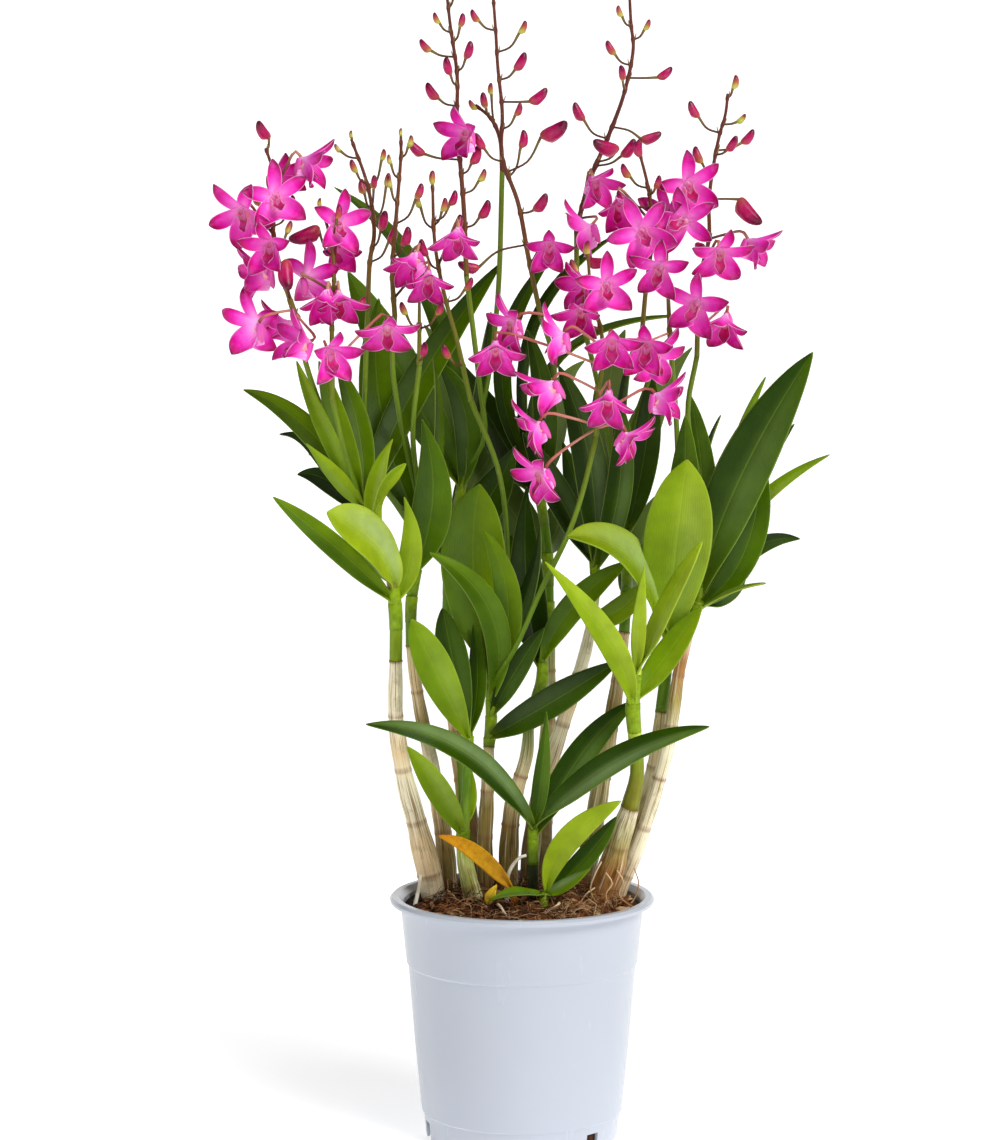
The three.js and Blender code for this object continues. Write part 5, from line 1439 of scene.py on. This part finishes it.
def add_tepal(azimuth, length, width, spread, chin, falcate):
    """One petal of a bloom that faces +z: it leaves the middle and curls outwards."""
    radial = Vector((math.cos(azimuth), math.sin(azimuth), 0))
    forward = Vector((0, 0, 1))
    sideways = radial.cross(forward)
    start, end = spread
    turn = end - start or 0.001
    low_side = 1 if sideways.y < 0 else -1

    def place(u, v):
        angle = start + turn * v
        out = (math.cos(start) - math.cos(angle)) / turn
        rise = (math.sin(angle) - math.sin(start)) / turn
        inward = -radial * math.cos(angle) + forward * math.sin(angle)
        across = 2 * u - 1
        body = math.sin(math.pi * v ** TEPAL_BELLY) ** TEPAL_FULLNESS if 0 < v < 1 else 0
        half = width * length * max(0.04, body + TEPAL_FOOT * (1 - v) ** 4)
        lower = max(0.0, across * low_side)
        half *= 1 + falcate * lower * (1 - v)
        curl = TEPAL_CUP * across * across * half
        hang = chin * lower * (1 - v) ** 2
        spine = (radial * out + forward * rise) * length
        return spine + sideways * across * half + inward * curl + hang

    def tint(u, v):
        return along_stops(PETAL, 0.92 * v ** 1.5 + 0.3 * v * abs(2 * u - 1) ** 2)

    return add_sheet(6, 9, place, tint, finish_named("petal_skin"))


# Petals of a bloom: azimuth in degrees, length, half width, share of the chin that each clothes,
# and how much fuller its lower side is.
TEPALS = (
    (90, 1.0, 0.185, 0, 0),
    (20, 0.97, 0.2, 0, 0),
    (160, 0.97, 0.2, 0, 0),
    (-50, 1.0, 0.215, 1, 0.7),
    (230, 1.0, 0.215, 1, 0.7),
)


def bloom_template(openness, draw):
    """A bloom about the z axis with its base at the origin; each petal varies a little."""
    length = bpy.context.scene.orchid_flowers.tepal_length
    chin = CHIN_POINT * length
    sheets = [add_lip(length, chin)]
    for azimuth, reach, width, clothing, falcate in TEPALS:
        spread = [math.radians(shut + opening * openness + draw.uniform(-play, play))
                  for shut, opening, play in TEPAL_TURNS]
        azimuth = math.radians(azimuth + draw.uniform(-TEPAL_SWING, TEPAL_SWING))
        reach *= length * draw.uniform(*TEPAL_LENGTHS)
        width *= draw.uniform(*TEPAL_WIDTHS)
        sheets.append(add_tepal(azimuth, reach, width, spread, chin * clothing, falcate))
    flower = joined(sheets)
    thicken(flower, TEPAL_THICKNESS * MM)
    smooth(flower)
    parts = [flower, add_chin(length, chin), add_column(length)]
    for part in parts[1:]:
        close_seams(part)
    return joined(parts)


def add_lip(length, chin):
    """The lip: a narrow claw, two raised side lobes and a darker tongue that turns down."""
    tones = (CHIN[1], CALLUS, LIP[0], LIP[1], LIP[1], LIP[2], LIP[2])

    def place(u, v):
        across = 2 * u - 1
        half = stepped(LIP_WIDTHS, v) * length
        lobe = max(0.0, 1 - abs(v - LOBE_PLACE) * LOBE_STEEPNESS)
        spine = chin * (0.55 - 0.15 * v) + Vector((0, -0.2 * v ** 3, 0.62 * v)) * length
        raised = abs(across) ** 1.5 * half * (0.3 + 1.1 * lobe)
        return spine + Vector((across * half * (1 - 0.45 * lobe), raised, 0.0))

    return add_sheet(6, 8, place, lambda u, v: along_stops(tones, v), finish_named("petal_skin"))


def add_chin(length, chin):
    """The blunt spur under a bloom."""
    line = Line([Vector((0, 0, -0.05 * length)), chin * 0.5, chin, chin * 1.08])

    def radius(share):
        return length * (0.08 + 0.03 * math.sin(math.pi * share)) * (1.02 - share ** 3) ** 0.5

    return add_tube(line, radius, lambda share: along_stops(CHIN, share),
                    finish_named("bud_skin"), sides=10, rings=8)


def add_column(length):
    """The pale column in the middle of a bloom."""
    line = Line([Vector((0, 0, -0.04)) * length, Vector((0, 0.02, 0.14)) * length,
                 Vector((0, -0.01, 0.3)) * length])

    def radius(share):
        return length * (0.06 + 0.02 * share) * (1 - 0.6 * eased((share - 0.85) / 0.15))

    return add_tube(line, radius, lambda share: along_stops(COLUMN, share),
                    finish_named("petal_skin"), sides=6, rings=5)


def bud_template(ripe):
    """A bud along z with its chin towards -y, 1 long, its foot at the origin."""
    def height(v):
        return 0.5 - 0.5 * math.cos(math.pi * v)

    def place(u, v):
        turn, z = 2 * math.pi * u, height(v)
        swell = BUD_WIDTH / 2 * max(0.0, math.sin(math.pi * v)) ** 0.9 * (1.06 - 0.12 * z)
        knee = BUD_KNEE * math.exp(-((z - KNEE_PLACE) / KNEE_REACH) ** 2)
        knee *= max(0.0, -math.sin(turn))
        bow = BUD_HOOK * z * z - BUD_BOW * math.sin(math.pi * z)
        return Vector((swell * math.cos(turn), (swell + knee) * math.sin(turn) + bow, z))

    def tint(u, v):
        body = along_stops(BUD, 0.62 * height(v) + 0.52 * ripe)
        return mixed(body, BUD_TIP, 0.85 * eased((height(v) - 0.55) / 0.45))

    bud = add_sheet(10, 12, place, tint, finish_named("bud_skin"))
    close_seams(bud, 0.001)
    return bud


def bract_template():
    """A small scale that clasps a node of the rachis, 1 long, up along z and open towards +y."""
    def place(u, v):
        across = 2 * u - 1
        half = 0.26 * (1 - v) ** 0.6
        return Vector((across * half, -0.2 + 0.3 * v * v + 0.3 * abs(across) * half, v))

    bract = add_sheet(2, 4, place, lambda u, v: along_stops(BRACT, v), finish_named("stalk_skin"))
    thicken(bract, 0.12)
    return bract


def ahead_of(yaw, pitch):
    """The direction of a yaw, 0 to the front and positive to the right, and a pitch upwards."""
    yaw, pitch = math.radians(yaw), math.radians(pitch)
    return Vector((math.sin(yaw) * math.cos(pitch), -math.cos(yaw) * math.cos(pitch),
                   math.sin(pitch)))


def add_bract(template, node, out):
    """Sets a bract at a node, with its back to the rachis and its tip along the pedicel."""
    ahead = (out.normalized() + Vector((0, 0, 1.2))).normalized()
    side = ahead.cross(out).normalized()
    return copy_of(template, basis(side, ahead.cross(side), ahead, node)
                   @ Matrix.Scale(BRACT_LENGTH * MM, 4))


def add_bloom(row, rachis, templates, draw):
    """A bloom and the pedicel that arches over from the rachis to its back.

    Returns both, the place of the node on the rachis and the way that the pedicel leaves it.
    """
    x, z, y, height, yaw, pitch, roll, stage = row
    length = bpy.context.scene.orchid_flowers.tepal_length
    ahead = ahead_of(yaw, pitch)
    base = at((x, z, y)) - ahead * length * BLOOM_SETBACK
    turn = facing(ahead, base, math.radians(roll + draw.uniform(-BLOOM_ROLL, BLOOM_ROLL)))
    size = draw.uniform(*BLOOM_SIZES)
    tone = draw.uniform(-BLOOM_TONE, BLOOM_TONE)
    template = templates[stage * BLOOM_KINDS + draw.randrange(BLOOM_KINDS)]
    flower = copy_of(template, turn @ Matrix.Scale(size, 4), lambda old: mixed(
        old, PETAL[1] if tone > 0 else PETAL[3], abs(tone)))
    node = rachis.point(rachis.at_height(height))
    behind = base - ahead * ARCH_BEHIND * MM + Vector((0, 0, ARCH_ABOVE * MM))
    bow = node.lerp(behind, 0.5) + Vector((0, 0, 0.03 * (behind - node).length))
    stalk = smooth_line([node, bow, behind, base + ahead * 0.4 * MM], 5)
    tones = PEDICEL if z < HANGING_BELOW else BLOOM_STALK
    pedicel = add_tube(stalk, lambda share: PEDICEL_RADIUS * MM * (1 + 0.35 * share ** 3),
                       lambda share: along_stops(tones, share), finish_named("stalk_skin"),
                       sides=6, rings=10)
    return [flower, pedicel], node, bow - node


def add_bud(row, rachis, templates, draw):
    """A bud and its pedicel, with what add_bloom returns."""
    x, z, y, height, size, *direction = row
    middle = at((x, z, y))
    node = rachis.point(rachis.at_height(height))
    length = BUD_LENGTH * MM * size
    away = ((middle - node).normalized() + Vector((0, 0, 0.5))).normalized()
    ahead = ahead_of(*direction) if direction else away
    foot = middle - ahead * length / 2
    ripe = (size - GREEN_SIZE) / RIPENING + draw.uniform(-RIPE_SPREAD, RIPE_SPREAD)
    ripe = min(1.0, max(0.0, ripe))
    template = templates[round(ripe * (len(templates) - 1))]
    turn = facing(ahead, foot, draw.uniform(-0.6, 0.6))
    bud = copy_of(template, turn @ Matrix.Scale(length, 4))
    out = foot - node
    bow = node + Vector((0.62 * out.x, 0.62 * out.y, 0.3 * out.z))
    stalk = smooth_line([node, bow, foot + ahead * 0.6 * MM], 6)
    pedicel = add_tube(stalk, lambda share: PEDICEL_RADIUS * MM * (0.8 + 0.4 * share ** 3),
                       lambda share: along_stops(BUD_STALK, share),
                       finish_named("stalk_skin"), sides=6, rings=9)
    return [bud, pedicel], node, bow - node


def make_spray(name, places, blooms, buds, flowers, bud_kinds, bract):
    """A rachis that swells a little at each node, and what grows from its nodes."""
    draw = random.Random(name)
    line = starting_below(through(places), OVERLAP)
    nodes = [line.at_height(row[3]) for row in blooms + buds]

    def radius(share):
        from_node = min(abs(share - node) for node in nodes) * line.length / MM
        swell = NODE_SWELL * max(0.0, 1 - from_node / NODE_REACH)
        return (PEDUNCLE_RADIUS + (RACHIS_TIP_RADIUS - PEDUNCLE_RADIUS) * share + swell) * MM

    def tint(share):
        above = shown_height(line.point(share)) - GREEN_BELOW
        return along_stops(RACHIS, above / GREEN_FADE)

    rings = round(line.length / MM / RACHIS_RING)
    parts = [add_tube(line, radius, tint, finish_named("stalk_skin"), sides=8, rings=rings)]
    grown = [add_bloom(row, line, flowers, draw) for row in blooms]
    grown += [add_bud(row, line, bud_kinds, draw) for row in buds]
    for pieces, node, out in grown:
        parts += [*pieces, add_bract(bract, node, out)]
    finished(joined(parts), name)


# ---------------------------------------------------------------- withered leaf and roots


def make_withered_leaf():
    """A withered leaf on its short stem, browner to the right, and the scrap beside it."""
    line = through(WITHERED_STEM)
    blade = add_leaf(WITHERED_LEAF, line, random.Random(3), "withered_skin")
    tinted(blade, [along_stops(WITHERED, 1 + vertex.co.x / MM / WITHERED_REACH)
                   for vertex in blade.data.vertices])
    scrap = add_leaf(WITHERED_SCRAP, through(WITHERED_SCRAP[4:]), random.Random(4),
                     "withered_skin")
    tinted(scrap, [SCRAP_YELLOW] * len(scrap.data.vertices))
    blade = joined([scrap, blade])
    thicken(blade, LEAF_THICKNESS * MM)
    smooth(blade)
    stem = add_tube(line, lambda share: stepped(WITHERED_RADII, share) * MM,
                    lambda share: WITHERED[0], finish_named("withered_skin"), sides=8, rings=8)
    close_seams(stem)
    finished(joined([stem, blade]), "withered_leaf")


def make_root(name, places):
    """A bare root that stands in the mix."""
    line = rooted(places)
    root = add_tube(line, lambda share: stepped(ROOT_RADII, share) * MM, lambda share: ROOT,
                    finish_named("bare_root"), sides=10, rings=16)
    close_seams(root)
    finished(root, name)


# ---------------------------------------------------------------- stage


def make_floor():
    """A round sheet that runs out under the plant and rises all round, highest behind it."""
    def place(u, v):
        turn = 2 * math.pi * u
        rise = max(0.0, FLOOR_REACH * v - FLOOR_BEND)
        wall = 0.55 * rise * rise / (1 + 0.4 * rise) * (0.7 + 0.3 * math.sin(turn))
        return Vector((math.cos(turn) * FLOOR_REACH * v, math.sin(turn) * FLOOR_REACH * v, wall))

    floor = add_sheet(48, 40, place, None, finish_named("floor_paper"))
    close_seams(floor)
    floor.name = "floor"
    alone(floor)
    bpy.ops.object.shade_smooth()
    floor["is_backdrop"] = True


def add_lamp(name, kind, power, location, **settings):
    """A light that points from its place to the middle of the plant."""
    turn = (LAMP_AIM - Vector(location)).to_track_quat("-Z", "Y").to_euler()
    bpy.ops.object.light_add(type=kind, location=location, rotation=turn)
    lamp = bpy.context.active_object
    lamp.name = name
    lamp.data.energy = power
    for setting, value in settings.items():
        setattr(lamp.data, setting, value)


def make_lights():
    """The sun, three broad lamps and an even sky."""
    settings = bpy.context.scene.orchid_stage
    add_lamp("daylight", "SUN", settings.daylight, DAYLIGHT_PLACE, angle=DAYLIGHT_BREADTH)
    for name, place, breadth in LAMPS:
        add_lamp(name, "AREA", getattr(settings, name + "_power"), place, shape="DISK",
                 size=breadth)
    world = bpy.data.worlds.new("soft_sky")
    world.use_nodes = True
    sky = world.node_tree.nodes["Background"]
    sky.inputs["Color"].default_value = WHITE
    sky.inputs["Strength"].default_value = settings.sky
    bpy.context.scene.world = world
    bpy.context.scene.view_settings.view_transform = "Standard"


def make_camera():
    """The camera at the eye point of the front elevation."""
    bpy.ops.object.camera_add(location=EYE, rotation=(CAMERA_TILT, 0, 0))
    camera = bpy.context.active_object
    camera.name = "camera"
    camera.data.lens = CAMERA_LENS
    bpy.context.scene.camera = camera


# ---------------------------------------------------------------- settings


def length_property(name, description, default):
    return bpy.props.FloatProperty(name=name, description=description, default=default,
                                   unit="LENGTH", min=0.0)


def colour_property(name, description, default):
    return bpy.props.FloatVectorProperty(name=name, description=description, default=default,
                                         subtype="COLOR", size=4, min=0.0, max=1.0)


class PotSettings(bpy.types.PropertyGroup):
    """The grower's pot."""
    sides: bpy.props.IntProperty(
        name="Sides", description="Faces round the pot", default=144, min=24)
    edge_round: length_property("Edge rounding", "Width of the rounding on every edge", 0.0004)
    plastic: colour_property("Plastic", "Colour of the plastic", PLASTIC)


class MixSettings(bpy.types.PropertyGroup):
    """The bark mix."""
    chips: bpy.props.IntProperty(
        name="Chips", description="Pieces of bark on the surface", default=420, min=0)
    fibres: bpy.props.IntProperty(
        name="Fibres", description="Threads of husk on the surface", default=800, min=0)
    seed: bpy.props.IntProperty(
        name="Seed", description="Another number lays the chips another way", default=11)


class FlowerSettings(bpy.types.PropertyGroup):
    """The blooms."""
    tepal_length: length_property("Petal length", "From the base of a bloom to its tips", 0.0182)
    openness: bpy.props.FloatProperty(
        name="Openness", description="How far the blooms are open", default=1.0,
        subtype="FACTOR", min=0.3, max=1.5)


class StageSettings(bpy.types.PropertyGroup):
    """The floor, the lights and the camera."""
    floor_colour: colour_property("Floor", "Colour of the floor", (0.8, 0.8, 0.8, 1.0))
    floor_glow: bpy.props.FloatProperty(
        name="Floor glow", description="Light that the floor adds of itself", default=0.88)
    key_power: bpy.props.FloatProperty(
        name="Key light", description="Power of the main light", default=10.0, unit="POWER")
    top_power: bpy.props.FloatProperty(
        name="Top light", description="Power of the light overhead", default=8.0, unit="POWER")
    fill_power: bpy.props.FloatProperty(
        name="Fill light", description="Power of the second light", default=3.0, unit="POWER")
    daylight: bpy.props.FloatProperty(
        name="Daylight", description="Strength of the broad light from the right", default=1.7)
    sky: bpy.props.FloatProperty(
        name="Sky", description="Strength of the even light all round", default=0.03)


# ---------------------------------------------------------------- operators


class ORCHID_OT_pot(bpy.types.Operator):
    """Turn the pot and cut its drain slots"""
    bl_idname = "orchid.pot"
    bl_label = "Pot"

    def execute(self, context):
        make_pot()
        return {"FINISHED"}


class ORCHID_OT_mix(bpy.types.Operator):
    """Heap the bark mix and lay its chips and fibres"""
    bl_idname = "orchid.mix"
    bl_label = "Bark mix"

    def execute(self, context):
        make_mix()
        return {"FINISHED"}


class ORCHID_OT_canes(bpy.types.Operator):
    """Grow the old, papery canes"""
    bl_idname = "orchid.canes"
    bl_label = "Canes"

    def execute(self, context):
        for row in CANES:
            make_cane(*row)
        return {"FINISHED"}


class ORCHID_OT_leafy_stems(bpy.types.Operator):
    """Grow the leafy stems, with their leaves and flower stalks"""
    bl_idname = "orchid.leafy_stems"
    bl_label = "Leafy stems"

    def execute(self, context):
        for row in LEAFY_STEMS:
            make_leafy_stem(*row)
        return {"FINISHED"}


class ORCHID_OT_sprays(bpy.types.Operator):
    """Grow the flower sprays, with their blooms and buds"""
    bl_idname = "orchid.sprays"
    bl_label = "Flower sprays"

    def execute(self, context):
        openness = context.scene.orchid_flowers.openness
        draw = random.Random(8)
        flowers = [bloom_template(openness * share, draw) for share in BLOOM_STAGES
                   for _ in range(BLOOM_KINDS)]
        buds = [bud_template(ripe) for ripe in BUD_STAGES]
        bract = bract_template()
        for row in SPRAYS:
            make_spray(*row, flowers, buds, bract)
        for template in (*flowers, *buds, bract):
            bpy.data.objects.remove(template)
        return {"FINISHED"}


class ORCHID_OT_remnants(bpy.types.Operator):
    """Lay the withered leaf and stand the bare roots in the mix"""
    bl_idname = "orchid.remnants"
    bl_label = "Withered leaf and roots"

    def execute(self, context):
        make_withered_leaf()
        for name, places in ROOTS:
            make_root(name, places)
        return {"FINISHED"}


class ORCHID_OT_stage(bpy.types.Operator):
    """Lay the floor, hang the lights and set up the camera"""
    bl_idname = "orchid.stage"
    bl_label = "Stage"

    def execute(self, context):
        make_floor()
        make_lights()
        make_camera()
        return {"FINISHED"}


class ORCHID_PT_panel(bpy.types.Panel):
    """Lists every step of the orchid in the sidebar"""
    bl_label = "Potted orchid"
    bl_idname = "ORCHID_PT_panel"
    bl_space_type = "VIEW_3D"
    bl_region_type = "UI"
    bl_category = "Orchid"

    def draw(self, context):
        for name, group in SETTINGS:
            box = self.layout.box()
            for setting in group.__annotations__:
                box.prop(getattr(context.scene, name), setting)
        for step in STEPS:
            self.layout.operator(step.bl_idname)


# ---------------------------------------------------------------- the whole plant

STEPS = (ORCHID_OT_pot, ORCHID_OT_mix, ORCHID_OT_canes, ORCHID_OT_leafy_stems, ORCHID_OT_sprays,
         ORCHID_OT_remnants, ORCHID_OT_stage)
SETTINGS = (("orchid_pot", PotSettings), ("orchid_mix", MixSettings),
            ("orchid_flowers", FlowerSettings), ("orchid_stage", StageSettings))


def register():
    for name, group in SETTINGS:
        bpy.utils.register_class(group)
        setattr(bpy.types.Scene, name, bpy.props.PointerProperty(type=group))
    for step in (*STEPS, ORCHID_PT_panel):
        bpy.utils.register_class(step)


def unregister():
    for step in (ORCHID_PT_panel, *reversed(STEPS)):
        bpy.utils.unregister_class(step)
    for name, group in reversed(SETTINGS):
        delattr(bpy.types.Scene, name)
        bpy.utils.unregister_class(group)


def main():
    register()
    for step in STEPS:
        namespace, name = step.bl_idname.split(".")
        getattr(getattr(bpy.ops, namespace), name)()
    boxes = {"cad": CAD_BOX, "visual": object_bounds()}
    {name: [list(corner) for corner in box] for name, box in boxes.items()}


if __name__ == "__main__":
    main()
